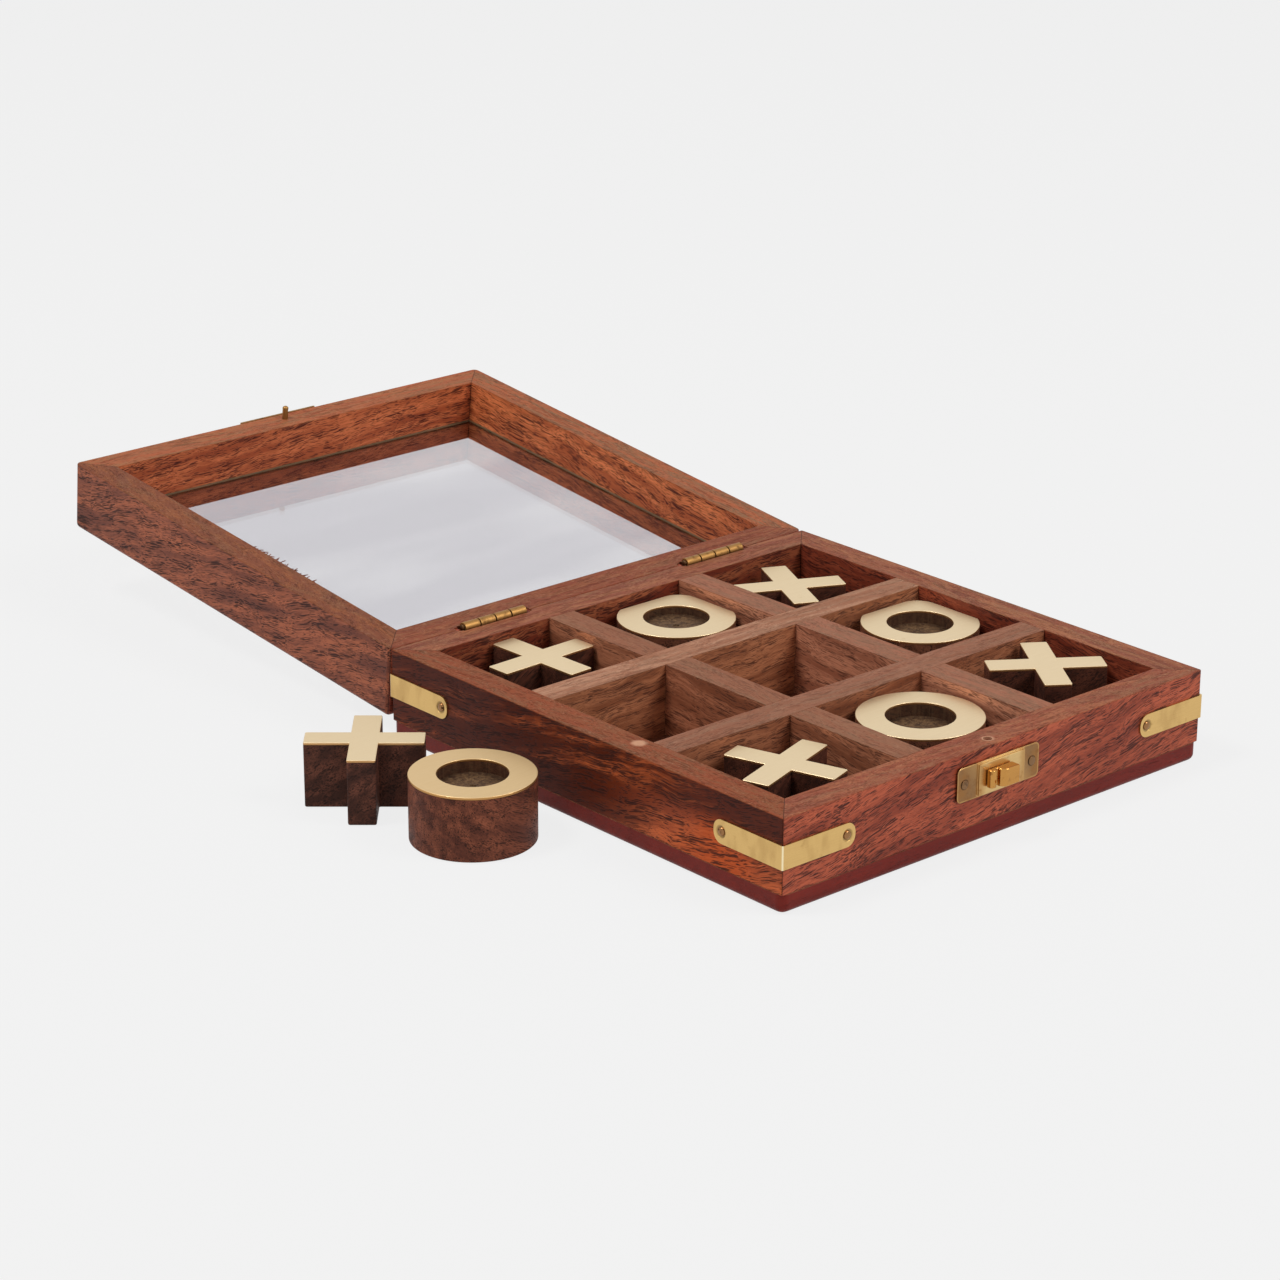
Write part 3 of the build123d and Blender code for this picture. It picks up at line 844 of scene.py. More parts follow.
    def copy(self, move: Matrix) -> "Bench":
        """A copy with its own mesh, moved by a matrix that is applied."""
        twin = self.piece.copy()
        twin.data = self.piece.data.copy()
        bpy.context.collection.objects.link(twin)
        return Bench(twin).move(move)

    def move(self, matrix: Matrix) -> "Bench":
        """Move the mesh and leave the object at the origin."""
        self.enter()
        self.piece.matrix_world = matrix @ self.piece.matrix_world
        bpy.ops.object.transform_apply(location=True, rotation=True, scale=True)
        return self

    def unevenness(self, reach: float, seed: int) -> "Bench":
        """Shift the vertices above the foot a little at random, as handwork leaves them."""
        self.choose(Kind.EDGE, lambda start, end: min(start.z, end.z) > 2 * reach)
        bpy.ops.transform.vertex_random(offset=reach, uniform=0.0, normal=0.0, seed=seed)
        self.clear()
        return self

    def stand_for(self, node: str, material: bpy.types.Material, smooth: float = 35.0) -> "Bench":
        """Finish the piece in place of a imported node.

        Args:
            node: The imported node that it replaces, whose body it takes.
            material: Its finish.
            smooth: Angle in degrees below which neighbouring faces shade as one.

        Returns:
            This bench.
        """
        self.enter()
        bpy.ops.object.shade_smooth_by_angle(angle=math.radians(smooth))
        weigh = self.piece.modifiers.new("weigh", "WEIGHTED_NORMAL")
        weigh.keep_sharp = True
        bpy.ops.object.modifier_apply(modifier=weigh.name)
        self.piece.name = self.piece.data.name = node + "_made"
        self.piece.data.materials.clear()
        self.piece.data.materials.append(material)
        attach(self.piece, BODY_OF[node])
        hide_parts(node)
        log.info("made %s for %s, %d faces", self.piece.name, node, len(self.piece.data.polygons))
        return self


def outer_half() -> float:
    """Half of the box's outer size."""
    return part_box("base_board")[1].x


BODY_OF = {
    node: body for body, nodes in frame["record"]["behaviour"]["bodies"].items() for node in nodes
}


def dress(node: str, material: bpy.types.Material) -> None:
    """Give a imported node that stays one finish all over."""
    mesh = frame["nodes"][node].data
    mesh.materials.clear()
    mesh.materials.append(material)
    for face in mesh.polygons:
        face.material_index = 0
    log.info("dressed %s", node)


def square(start: Vector, end: Vector, direction: Vector) -> bool:
    """Whether an edge between two ends runs along a direction."""
    run = end - start
    return run.length > 0 and abs(run.normalized().dot(direction)) > 0.999


def facing(normal: Vector, direction: Vector) -> bool:
    """Whether a face with this normal looks in a direction."""
    return normal.dot(direction) > 0.99


def placed(point: Vector, **parts: float) -> Vector:
    """A copy of a point with some of its parts replaced, by name."""
    moved = point.copy()
    for name, value in parts.items():
        setattr(moved, name, value)
    return moved


def shells(node: str, turn: Matrix = Matrix.Identity(4)) -> list[tuple[Vector, Vector]]:
    """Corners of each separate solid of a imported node.

    Args:
        node: Name of the node.
        turn: Matrix that its points are moved by first.

    Returns:
        Lowest and highest corner of each solid, from left to right.
    """
    work = bmesh.new()
    work.from_mesh(frame["nodes"][node].data)
    bmesh.ops.remove_doubles(work, verts=work.verts, dist=EXACT)
    left = set(work.verts)
    found = []
    while left:
        reached, points = [left.pop()], []
        while reached:
            vertex = reached.pop()
            points.append(turn @ vertex.co)
            for edge in vertex.link_edges:
                other = edge.other_vert(vertex)
                if other in left:
                    left.remove(other)
                    reached.append(other)
        found.append(corners_of(points))
    work.free()
    return sorted(found, key=lambda corners: (round(corners[0].x, 4), round(corners[0].y, 4)))


def grown(low: Vector, high: Vector, *margins: float) -> tuple[Vector, Vector]:
    """Corners of a box grown by a margin along X, Y and Z."""
    margin = Vector(margins)
    return low - margin, high + margin


@dataclass
class Carcase:
    """Square frame of mitred boards, slotted for the hinges, as the box and the lid both have it.

    Attributes:
        wear: Rounding of the boards' long outer edges.
        seam: Rounding of edges that meet another board.
        joint: Fine bevel round each mitre.
        corner: Radius of the upright corners.
        corner_cuts: Angles in degrees at which the saw rounds each upright corner.
        clearance: Room round the parts let into the boards.
        slot_run_out: How far the saw ran past each hinge slot.
        run_out_share: Depth of those saw cuts as a share of the slot's.
        kerf: Half of their height.
        leaf: Thickness of the hinge leaves.
        leaf_room: Room round each leaf.
        tones: Colours of each board.
    """

    wear: float = 0.0003
    seam: float = 0.0002
    joint: float = 0.00007
    corner: float = 0.0017
    corner_cuts: tuple[float, ...] = (15.0, 30.0, 45.0)
    clearance: float = 0.0003
    slot_run_out: float = 0.0016
    run_out_share: float = 0.7
    kerf: float = 0.0005
    leaf: float = 0.00045
    leaf_room: float = 0.0001
    tones: dict[Side, Tones] = field(default_factory=dict)

    @property
    def half(self) -> float:
        """Half of the box's outer size."""
        return outer_half()

    def board(self, side: Side, low: Vector, high: Vector, wear: Callable[[float, bool], float]) -> Bench:
        """Board that is mitred at both ends and worn along its edges.

        Args:
            side: Side of the box that the board makes.
            low: Lowest corner of the board's node.
            high: Highest corner of the board's node.
            wear: Gives an edge's rounding from its height and whether it is on the outer face.

        Returns:
            The board on the bench.
        """
        half = self.half
        stretch = side.along * (half - max(abs(low.dot(side.along)), abs(high.dot(side.along))))
        reach = Vector([abs(value) for value in stretch])
        board = Bench.block(side.name.lower() + "_board", low - reach, high + reach)
        for end in (-1, 1):
            board.slice((0, 0, 0), side.along * end - side.out)
            for angle in self.corner_cuts:
                across, out = math.sin(math.radians(angle)), math.cos(math.radians(angle))
                normal = side.along * end * across + side.out * out
                board.slice(normal * ((half - self.corner) * (across + out) + self.corner), normal)

        def on_mitre(start: Vector, end: Vector) -> bool:
            """Whether an edge lies in one of the two mitre cuts."""
            off = max(abs(abs(point.dot(side.out)) - abs(point.dot(side.along))) for point in (start, end))
            return off < EXACT and start.dot(side.along) * end.dot(side.along) > 0

        middle = half - abs((high - low).dot(side.out)) / 2
        for level in (min(low.z, high.z), max(low.z, high.z)):
            for outer in (False, True):
                def long_edge(start: Vector, end: Vector, level: float = level, outer: bool = outer) -> bool:
                    """Whether an edge runs along the board at this level and face."""
                    flat = abs(start.z - level) < EXACT and abs(end.z - level) < EXACT
                    out = ((start + end) / 2).dot(side.out) > middle
                    return flat and out == outer and not on_mitre(start, end)
                width = wear(level, outer)
                board.choose(Kind.EDGE, long_edge).bevel(width, 4 if width > 0.001 else 3)
        board.choose(Kind.EDGE, on_mitre).bevel(self.joint, 1)
        return board

    def hinge_cuts(self) -> list[Bench]:
        """Slots that take the hinge barrels, recesses for the leaves and the saw's run-outs."""
        cuts = []
        half, middle = self.half, LidHinge.axis.z
        for pin_low, pin_high in shells("hinge_pins"):
            side = "left" if pin_high.x < 0 else "right"
            leaf_low, leaf_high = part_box(f"hinge_{side}_box_leaf")
            barrel = leaf_high.y - LidHinge.axis.y
            slot_depth = half - (LidHinge.axis.y - barrel) + self.clearance
            drop = middle - leaf_low.z
            far = half + slot_depth
            slot = (Vector((pin_low.x, half - slot_depth, middle - barrel)),
                    Vector((pin_high.x, far, middle + barrel)))
            recess = (Vector((leaf_low.x, half - self.leaf, middle - drop)),
                      Vector((leaf_high.x, far, middle + drop)))
            run_out = (Vector((pin_low.x, half - slot_depth * self.run_out_share, middle)),
                       Vector((pin_high.x, far, middle)))
            cuts.append(Bench.block("slot", *grown(*slot, self.clearance, 0, self.clearance)))
            cuts.append(Bench.block("recess", *grown(*recess, self.leaf_room, 0, self.leaf_room)))
            cuts.append(Bench.block("run_out", *grown(*run_out, self.slot_run_out, 0, self.kerf)))
        return cuts


@dataclass
class BoxBody(Carcase):
    """Base board, four mitred walls and the four dividers halved into each other.

    Attributes:
        base_corner: Radius of the base board's upright corners.
        base_round: Rounding of the base board's lower edge.
        notch_room: Room round each notch in a divider.
        stem_height: Height of the slot for the latch's stem.
    """

    seam: float = 0.00014
    corner: float = 0.0006
    base_corner: float = 0.0024
    base_round: float = 0.0018
    notch_room: float = 0.00003
    stem_height: float = 0.003
    tones: dict[Side, Tones] = field(default_factory=lambda: {
        Side.FRONT: Tones(pale=srgb(170, 82, 54), deep=srgb(120, 48, 29), pores=srgb(50, 16, 11),
                          rim=srgb(146, 88, 58), density=0.5, tilt=12.0,
                          marks=((-0.002, -0.0725, 0.0021),)),
        # Left wall: its shade colour is a painted shadow on its upper part and far end.
        Side.LEFT: Tones(pale=srgb(188, 94, 52), deep=srgb(130, 58, 32), pores=srgb(40, 14, 8),
                         rim=srgb(122, 73, 46), density=0.5, tilt=-9.0, shine=0.08,
                         glow=srgb(176, 70, 16), shade=srgb(66, 19, 4),
                         marks=((-0.0702, -0.0175, 0.0026),)),
        Side.RIGHT: Tones(rim=srgb(148, 94, 62)),
        Side.BACK: Tones(rim=srgb(144, 90, 60), pale=srgb(162, 92, 60)),
    })

    @property
    def rim(self) -> float:
        """Height of the walls' rim."""
        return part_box("front_wall")[1].z

    def build(self) -> None:
        """Make the base, the walls and the dividers."""
        self.base()
        for index, side in enumerate(Side):
            self.wall(side, index)
        for index, (node, grain, *colours) in enumerate((
                ("long_divider_front", Grain.X, srgb(180, 114, 80), srgb(124, 70, 46), srgb(136, 92, 70)),
                ("long_divider_back", Grain.X, srgb(188, 123, 86), srgb(128, 74, 48), srgb(164, 120, 94)),
                ("cross_divider_left", Grain.Y, srgb(184, 118, 86), srgb(126, 72, 48), srgb(128, 86, 62)),
                ("cross_divider_right", Grain.Y, srgb(206, 140, 108), srgb(146, 88, 64),
                 srgb(128, 86, 64)))):
            pale, deep, rim = colours
            tones = Tones(pale, deep, srgb(64, 32, 21), rim, density=0.36, shine=0.22)
            self.divider(node, grain, tones, index)

    def base(self) -> None:
        """Base board with a rounded lower edge and dark red stain."""
        low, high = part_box("base_board")
        board = Bench.block("base", low, high)
        board.choose(Kind.EDGE, lambda start, end: square(start, end, UPWARDS))
        board.bevel(self.base_corner, 5)
        board.choose(Kind.EDGE, lambda start, end: max(start.z, end.z) < low.z + EXACT)
        board.bevel(self.base_round, 5)
        board.choose(Kind.EDGE, lambda start, end: min(start.z, end.z) > high.z - EXACT)
        board.bevel(self.seam, 2)
        stain = Tones(srgb(112, 30, 20), srgb(84, 20, 14), srgb(48, 12, 9), rim=srgb(132, 80, 54),
                      density=0.08, tilt=0.0, shine=0.14)
        finish = Wood("base_stain", stain, gloss=0.42, coat=0.0, seed=0.9, contrast=0.45, rim_height=high.z)
        board.stand_for("base_board", finish.make())

    def wall(self, side: Side, index: int) -> None:
        """One wall, with what is cut into it."""
        node = side.name.lower() + "_wall"
        low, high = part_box(node)
        board = self.board(side, low, high, lambda level, outer:
                           self.wear if outer and level > low.z + NEARLY else self.seam)
        if side is Side.FRONT:
            board.carve(*self.latch_cuts())
        if side is Side.BACK:
            board.carve(*self.hinge_cuts())
        finish = Wood(node, self.tones[side], seed=0.37 * index + 0.11, grain=side.grain,
                      rim_height=self.rim, mitre=True)
        board.stand_for(node, finish.make())

    def latch_cuts(self) -> list[Bench]:
        """Hole for the lid's pin, and the pocket and stem slot of the catch."""
        pin_low, pin_high = LidHinge.shut_box("striker_pin")
        centre = (pin_low + pin_high) / 2
        radius = (pin_high.x - pin_low.x) / 2 + self.clearance
        hole = Bench.round_bar("hole", placed(centre, z=pin_low.z - self.clearance),
                               placed(centre, z=self.rim + self.clearance), radius)
        catch_low, catch_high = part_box("latch_catch")
        spring_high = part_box("latch_spring")[1]
        pocket_low = Vector((catch_low.x, -self.half + self.clearance, catch_low.z))
        pocket_high = Vector((spring_high.x, catch_high.y, catch_high.z))
        pocket = Bench.block("pocket", *grown(pocket_low, pocket_high, 0, self.clearance / 2, self.clearance))
        plate_low, plate_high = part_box("latch_plate")
        knob_low, knob_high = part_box("latch_knob")
        stem_low = Vector((knob_low.x, -self.half, (plate_low.z + plate_high.z - self.stem_height) / 2))
        stem_high = Vector((knob_high.x, pocket_low.y, stem_low.z + self.stem_height))
        stem = Bench.block("stem", *grown(stem_low, stem_high, 0, self.clearance, 0))
        return [hole, pocket, stem]

    def divider(self, node: str, grain: Grain, tones: Tones, index: int) -> None:
        """One divider, notched where it crosses the others."""
        low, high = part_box(node)
        board = Bench.block(node, low, high)
        along_x = grain is Grain.X
        others = ("cross_divider_left", "cross_divider_right") if along_x else (
            "long_divider_front", "long_divider_back")
        half_height = (low.z + high.z) / 2
        cuts = []
        for other in others:
            other_low, other_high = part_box(other)
            if along_x:
                notch = ((other_low.x, low.y, low.z), (other_high.x, high.y, half_height))
            else:
                notch = ((low.x, other_low.y, half_height), (high.x, other_high.y, high.z))
            cuts.append(Bench.block("notch", *grown(*map(Vector, notch), *[self.notch_room] * 3)))
        board.carve(*cuts)
        board.soften(self.seam, 2)
        finish = Wood(node, tones, gloss=0.5, seed=0.53 * index + 0.29, grain=grain, rim_height=self.rim,
                      contrast=0.9)
        board.stand_for(node, finish.make())


@dataclass
class Lid(Carcase):
    """Four mitred rails and the pane that lies in their groove, modelled shut and swung open.

    Attributes:
        outer_round: Rounding of the rails' outer top edges.
        glass_room: Room over and under the pane in its groove.
        pane_edge: Rounding of the pane's edges.
        torn_fibres: Number of torn fibres on the left rail.
        fibre_pitch: Distance from one torn fibre to the next.
        fibre_radius: Radius of a torn fibre at its root.
    """

    outer_round: float = 0.0016
    glass_room: float = 0.00001
    pane_edge: float = 0.0002
    torn_fibres: int = 26
    fibre_pitch: float = 0.0011
    fibre_radius: float = 0.00014
    tones: dict[Side, Tones] = field(default_factory=lambda: {
        Side.FRONT: Tones(pale=srgb(214, 118, 73), deep=srgb(160, 76, 44), rim=srgb(146, 94, 60),
                          density=0.46, tilt=-4.0),
        Side.LEFT: Tones(pale=srgb(158, 87, 58), deep=srgb(102, 52, 37), pores=srgb(34, 13, 10),
                         rim=srgb(132, 76, 45), density=0.46, tilt=-15.0, shine=0.13),
        Side.RIGHT: Tones(pale=srgb(224, 128, 78), deep=srgb(166, 82, 46), rim=srgb(124, 86, 58)),
        Side.BACK: Tones(rim=srgb(132, 78, 50)),
    })

    def build(self) -> None:
        """Make the rails and the pane."""
        glass_low, glass_high = LidHinge.shut_box("glass_pane")
        for index, side in enumerate(Side):
            node = f"lid_{side.name.lower()}_rail"
            low, high = LidHinge.shut_box(node)
            rail = self.board(side, low, high, self.rounding(low.z))
            groove = grown(glass_low, glass_high, self.clearance, self.clearance, self.glass_room)
            rail.carve(Bench.block("groove", *groove))
            if side is Side.BACK:
                rail.carve(*self.hinge_cuts())
            finish = Wood(node, self.tones[side], gloss=0.42, seed=0.41 * index + 2.3, grain=side.grain,
                          on_lid=True, rim_height=low.z, mitre=True, putty=glass_low.z)
            if side is Side.LEFT:
                rail.join(*self.splinters(high.x, low.z))
            rail.move(LidHinge.opening).stand_for(node, finish.make())
        pane = Bench.block("pane", glass_low, glass_high)
        pane.soften(self.pane_edge, 2).move(LidHinge.opening)
        pane.stand_for("glass_pane", Glass("lid_glass", srgb(213, 211, 217)).make())

    def splinters(self, inner: float, rim: float) -> list[Bench]:
        """Torn fibres along the left rail's inner edge.

        Args:
            inner: Place of the rail's inner face along X.
            rim: Height of the rim on the shut box.

        Returns:
            One thin pointed sliver for each fibre.
        """
        fibres = []
        for index in range(self.torn_fibres):
            wobble = math.sin(index * 2.4)
            along = 0.001 + self.fibre_pitch * index + 0.0006 * wobble
            length = 0.001 + 0.001 * math.sin(index * 1.7) ** 2
            root = Vector((inner - 0.0002, along, rim + 0.00035 + 0.0003 * (index % 3)))
            tip = root + Vector((length, 0.0008 * (wobble + 0.4), 0.0003 * wobble))
            fibre = Bench.round_bar("fibre", root, tip, self.fibre_radius, 5)
            way = (tip - root).normalized()
            fibre.choose(Kind.FACE, lambda place, normal, way=way: facing(normal, way))
            fibres.append(fibre.inset(0.0001, -0.0003))
        return fibres

    def rounding(self, rim: float) -> Callable[[float, bool], float]:
        """How much each long edge is rounded.

        Args:
            rim: Height of the rails' rim on the shut box.

        Returns:
            Function of an edge's height and whether it is on the outer face.
        """
        def wear(level: float, outer: bool) -> float:
            """Rounding of one edge."""
            if level < rim + NEARLY:
                return self.wear if outer else self.seam
            return self.outer_round if outer else self.seam
        return wear


@dataclass
class Nails:
    """Nails of one group: domed head, shank and point, each in its packed place.

    Attributes:
        head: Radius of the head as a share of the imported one.
        dome: Height of the dome.
        brim: Height of the upright edge under the dome.
        sunk: How far the head is driven in beyond its packed place.
        sides: Facets round the head.
    """

    head: float = 1.0
    dome: float = 0.0005
    brim: float = 0.0003
    sunk: float = 0.0
    sides: int = 20

    def build(self, node: str, finish: bpy.types.Material, on_lid: bool = False) -> None:
        """Make a packed group of nails.

        Args:
            node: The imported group.
            finish: Its material.
            on_lid: Whether the nails are driven into the lid.
        """
        turn = LidHinge.closing if on_lid else Matrix.Identity(4)
        nails = [self.nail(*corners) for corners in shells(node, turn)]
        group = nails[0].join(*nails[1:])
        if on_lid:
            group.move(LidHinge.opening)
        group.stand_for(node, finish)

    def nail(self, low: Vector, high: Vector) -> Bench:
        """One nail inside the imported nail's box."""
        size, centre = high - low, (low + high) / 2
        axis = max(range(3), key=lambda i: size[i])
        out = Vector((0, 0, 0))
        out[axis] = -1 if axis == 2 else math.copysign(1, centre[axis])
        length, radius = size[axis], min(size) / 2
        tip = centre - out * length / 2
        seat = centre + out * (length / 2 - self.dome - self.sunk)
        flat = Vector([self.dome if abs(part) > 0.5 else radius * self.head for part in out])
        head = Bench.ball("head", seat, flat, self.sides).slice(seat - out * 0.00003, -out)
        shank = Bench.round_bar("shank", tip + out * radius, seat, radius * 0.48, 12)
        shank.choose(Kind.FACE, lambda place, normal: facing(normal, -out)).inset(radius * 0.36, -radius)
        brim = Bench.round_bar("brim", seat - out * self.brim, seat, radius * self.head, self.sides)
        return head.join(brim, shank)


@dataclass
class Straps:
    """Brass straps bent round the four corners, dimpled where they are nailed.

    Attributes:
        end_radius: Radius of the rounded ends.
        bend: Outer radius of the bend.
        rim: Softening of the cut edges.
        dimple: Radius and depth of the hollow round each nail.
    """

    end_radius: float = 0.0028
    bend: float = 0.0005
    rim: float = 0.00009
    dimple: tuple[float, float] = (0.0017, 0.00026)

    def build(self, finish: bpy.types.Material) -> None:
        """Make one strap, and turned copies for the other corners."""
        first = self.strap()
        places = {"strap_front_right": 90.0, "strap_back_right": 180.0, "strap_back_left": 270.0}
        for node, turn in places.items():
            first.copy(Matrix.Rotation(math.radians(turn), 4, "Z")).stand_for(node, finish)
        first.stand_for("strap_front_left", finish)

    def strap(self) -> Bench:
        """The strap of the front left corner."""
        low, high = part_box("strap_front_left")
        half = outer_half()
        front_leg = Bench.block("strap", low, (high.x, -half, high.z))
        left_leg = Bench.block("leg", low, (-half, high.y, high.z))
        strap = front_leg.boolean(left_leg, "UNION")
        thick = -half - low.x
        strap.choose(Kind.EDGE, lambda start, end: square(start, end, UPWARDS)
                     and (start.xy - low.xy).length < NEARLY).bevel(self.bend, 6)
        strap.choose(Kind.EDGE, lambda start, end: square(start, end, UPWARDS)
                     and (start.xy - Vector((-half, -half))).length < NEARLY).bevel(self.bend - thick / 2, 5)
        strap.choose(Kind.EDGE, lambda start, end: square(start, end, BACKWARDS)
                     and start.x > high.x - EXACT).bevel(self.end_radius, 9)
        strap.choose(Kind.EDGE, lambda start, end: square(start, end, RIGHTWARDS)
                     and start.y > high.y - EXACT).bevel(self.end_radius, 9)
        strap.soften(self.rim, 2, 60.0)
        radius, depth = self.dimple
        for nail_low, nail_high in shells("strap_nails"):
            centre = (nail_low + nail_high) / 2
            if centre.x > 0 or centre.y > 0:
                continue
            if nail_high.x - nail_low.x > nail_high.y - nail_low.y:
                hollow = Bench.ball("hollow", (low.x, centre.y, centre.z), (depth, radius, radius), 32)
            else:
                hollow = Bench.ball("hollow", (centre.x, low.y, centre.z), (radius, depth, radius), 32)
            strap.carve(hollow)
        return strap


@dataclass
class Latch:
    """Plate with rolled edges and a raised pad, and the knob that slides on it.

    Attributes:
        plate_thick: Thickness of the plate's ends.
        plate_corner: Radius of the plate's corners.
        roll: Width and height of the raised edge round the plate.
        pad_length: Length of the raised pad.
        pad_shift: How far the pad lies to the right of the plate's middle.
        pad_round: Rounding of the pad's edges.
        slot: Length and height of the slot for the stem.
        slot_shift: How far the slot lies to the right of the catch's middle.
        post_share: Share of the knob's length that the left post takes.
        groove_share: Share of the knob's length that the groove takes.
        post_step: How far the post's front lies behind the block's.
        groove_step: How far the groove's floor lies behind it.
        nose: Rounding of the block's edge beside the groove.
        pin_share: Place of the post's hole along it, as a share of its length.
        pin_drop: How far the hole lies below the knob's middle.
        pin_radius: Radius of the hole.
        spare: How much shorter and lower than its packed room the knob is.
    """

    plate_thick: float = 0.0007
    plate_corner: float = 0.0014
    roll: tuple[float, float] = (0.0005, 0.00012)
    pad_length: float = 0.0165
    pad_shift: float = 0.0008
    pad_round: float = 0.00018
    slot: tuple[float, float] = (0.0066, 0.003)
    slot_shift: float = 0.0015
    post_share: float = 0.25
    groove_share: float = 0.07
    post_step: float = 0.0012
    groove_step: float = 0.0022
    nose: float = 0.0019
    pin_share: float = 0.7
    pin_drop: float = 0.0006
    pin_radius: float = 0.00055
    spare: Vector = field(default_factory=lambda: Vector((0.0011, 0.0003)))

    def build(self, plate_finish: bpy.types.Material, knob_finish: bpy.types.Material) -> None:
        """Make the plate and the knob."""
        self.plate().stand_for("latch_plate", plate_finish)
        self.knob().stand_for("latch_knob", knob_finish)

    @property
    def floor(self) -> float:
        """Place along Y of the plate's flat between its rolled edges."""
        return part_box("latch_plate")[1].y - self.plate_thick + self.roll[1]

    def plate(self) -> Bench:
        """Plate on the front wall."""
        low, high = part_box("latch_plate")
        centre = (low + high) / 2
        plate = Bench.block("latch_plate", (low.x, high.y - self.plate_thick, low.z), high)
        plate.choose(Kind.EDGE, lambda start, end: square(start, end, BACKWARDS)).bevel(self.plate_corner, 5)
        plate.choose(Kind.FACE, lambda place, normal: facing(normal, -BACKWARDS)).inset(*self.roll)
        pad_left = centre.x + self.pad_shift - self.pad_length / 2
        pad_right = pad_left + self.pad_length
        for cut in (pad_left, pad_right):
            plate.slice((cut, 0, 0), RIGHTWARDS, keep_all=True)
        floor = self.floor
        plate.choose(Kind.FACE, lambda place, normal: facing(normal, -BACKWARDS)
                     and pad_left < place.x < pad_right and abs(place.y - floor) < NEARLY)
        plate.push((0, low.y - floor, 0))
        plate.soften(self.pad_round, 3, 40.0)
        slot_length, slot_height = self.slot
        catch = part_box("latch_catch")
        slot_left = (catch[0].x + catch[1].x - slot_length) / 2 + self.slot_shift
        slot_low = (slot_left, low.y - SPARE, centre.z - slot_height / 2)
        slot_high = (slot_left + slot_length, high.y + SPARE, centre.z + slot_height / 2)
        return plate.carve(Bench.block("slot", slot_low, slot_high))

    def knob(self) -> Bench:
        """Sliding knob: an upright post, a groove and a block with a rounded nose."""
        low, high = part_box("latch_knob")
        low, high = low + Vector((0, 0, self.spare.y)), high - Vector((self.spare.x, 0, self.spare.y))
        length, middle = high.x - low.x, (low.z + high.z) / 2
        post_right = low.x + length * self.post_share
        block_left = post_right + length * self.groove_share
        knob = Bench.block("knob", low, high)
        for start, stop, depth in ((low.x - SPARE, post_right, self.post_step),
                                   (post_right - SPARE / 2, block_left, self.groove_step)):
            knob.carve(Bench.block("step", (start, low.y - SPARE, low.z - SPARE),
                                   (stop, low.y + depth, high.z + SPARE)))
        knob.choose(Kind.EDGE, lambda start, end: square(start, end, UPWARDS)
                    and start.y < low.y + EXACT and start.x < block_left + EXACT).bevel(self.nose, 7)
        knob.choose(Kind.EDGE, lambda start, end: square(start, end, UPWARDS)
                    and start.x < low.x + EXACT and start.y < low.y + self.post_step + EXACT)
        knob.bevel(self.nose * 0.5, 5).soften(0.00045, 4, 35.0)
        front = Vector((low.x + length * self.post_share * self.pin_share, low.y, middle - self.pin_drop))
        hole = Bench.round_bar("pin_hole", placed(front, y=low.y - SPARE),
                               placed(front, y=low.y + self.post_step + SPARE), self.pin_radius, 16)
        return knob.carve(hole)


@dataclass
class Striker:
    """Thin plate and notched pin on the lid's front rail.

    Attributes:
        corner: Radius of the plate's corners.
        edge: Softening of its edges.
        tip: Rounding of the pin's tip.
        notch: Height and depth of the notch that the catch enters.
        notch_rise: Height of the notch's middle above the tip.
    """

    corner: float = 0.0014
    edge: float = 0.00012
    tip: float = 0.0006
    notch: tuple[float, float] = (0.0012, 0.0005)
    notch_rise: float = 0.0016

    def build(self, finish: bpy.types.Material) -> None:
        """Make both on the shut lid and swing them open."""
        low, high = LidHinge.shut_box("striker_plate")
        plate = Bench.block("striker_plate", low, high)
        plate.choose(Kind.EDGE, lambda start, end: square(start, end, UPWARDS))
        plate.bevel(self.corner, 5).soften(self.edge, 2).move(LidHinge.opening)
        plate.stand_for("striker_plate", finish)
        low, high = LidHinge.shut_box("striker_pin")
        centre, radius = (low + high) / 2, (high.x - low.x) / 2
        pin = Bench.round_bar("pin", placed(centre, z=low.z), placed(centre, z=high.z), radius, 28)
        pin.choose(Kind.EDGE, lambda start, end: max(start.z, end.z) < low.z + EXACT).bevel(self.tip, 5)
        height, depth = self.notch
        notch_low = (high.x - depth, low.y, low.z + self.notch_rise - height / 2)
        notch_high = (high.x + depth, high.y, low.z + self.notch_rise + height / 2)
        pin.carve(Bench.block("notch", notch_low, notch_high)).move(LidHinge.opening)
        pin.stand_for("striker_pin", finish)


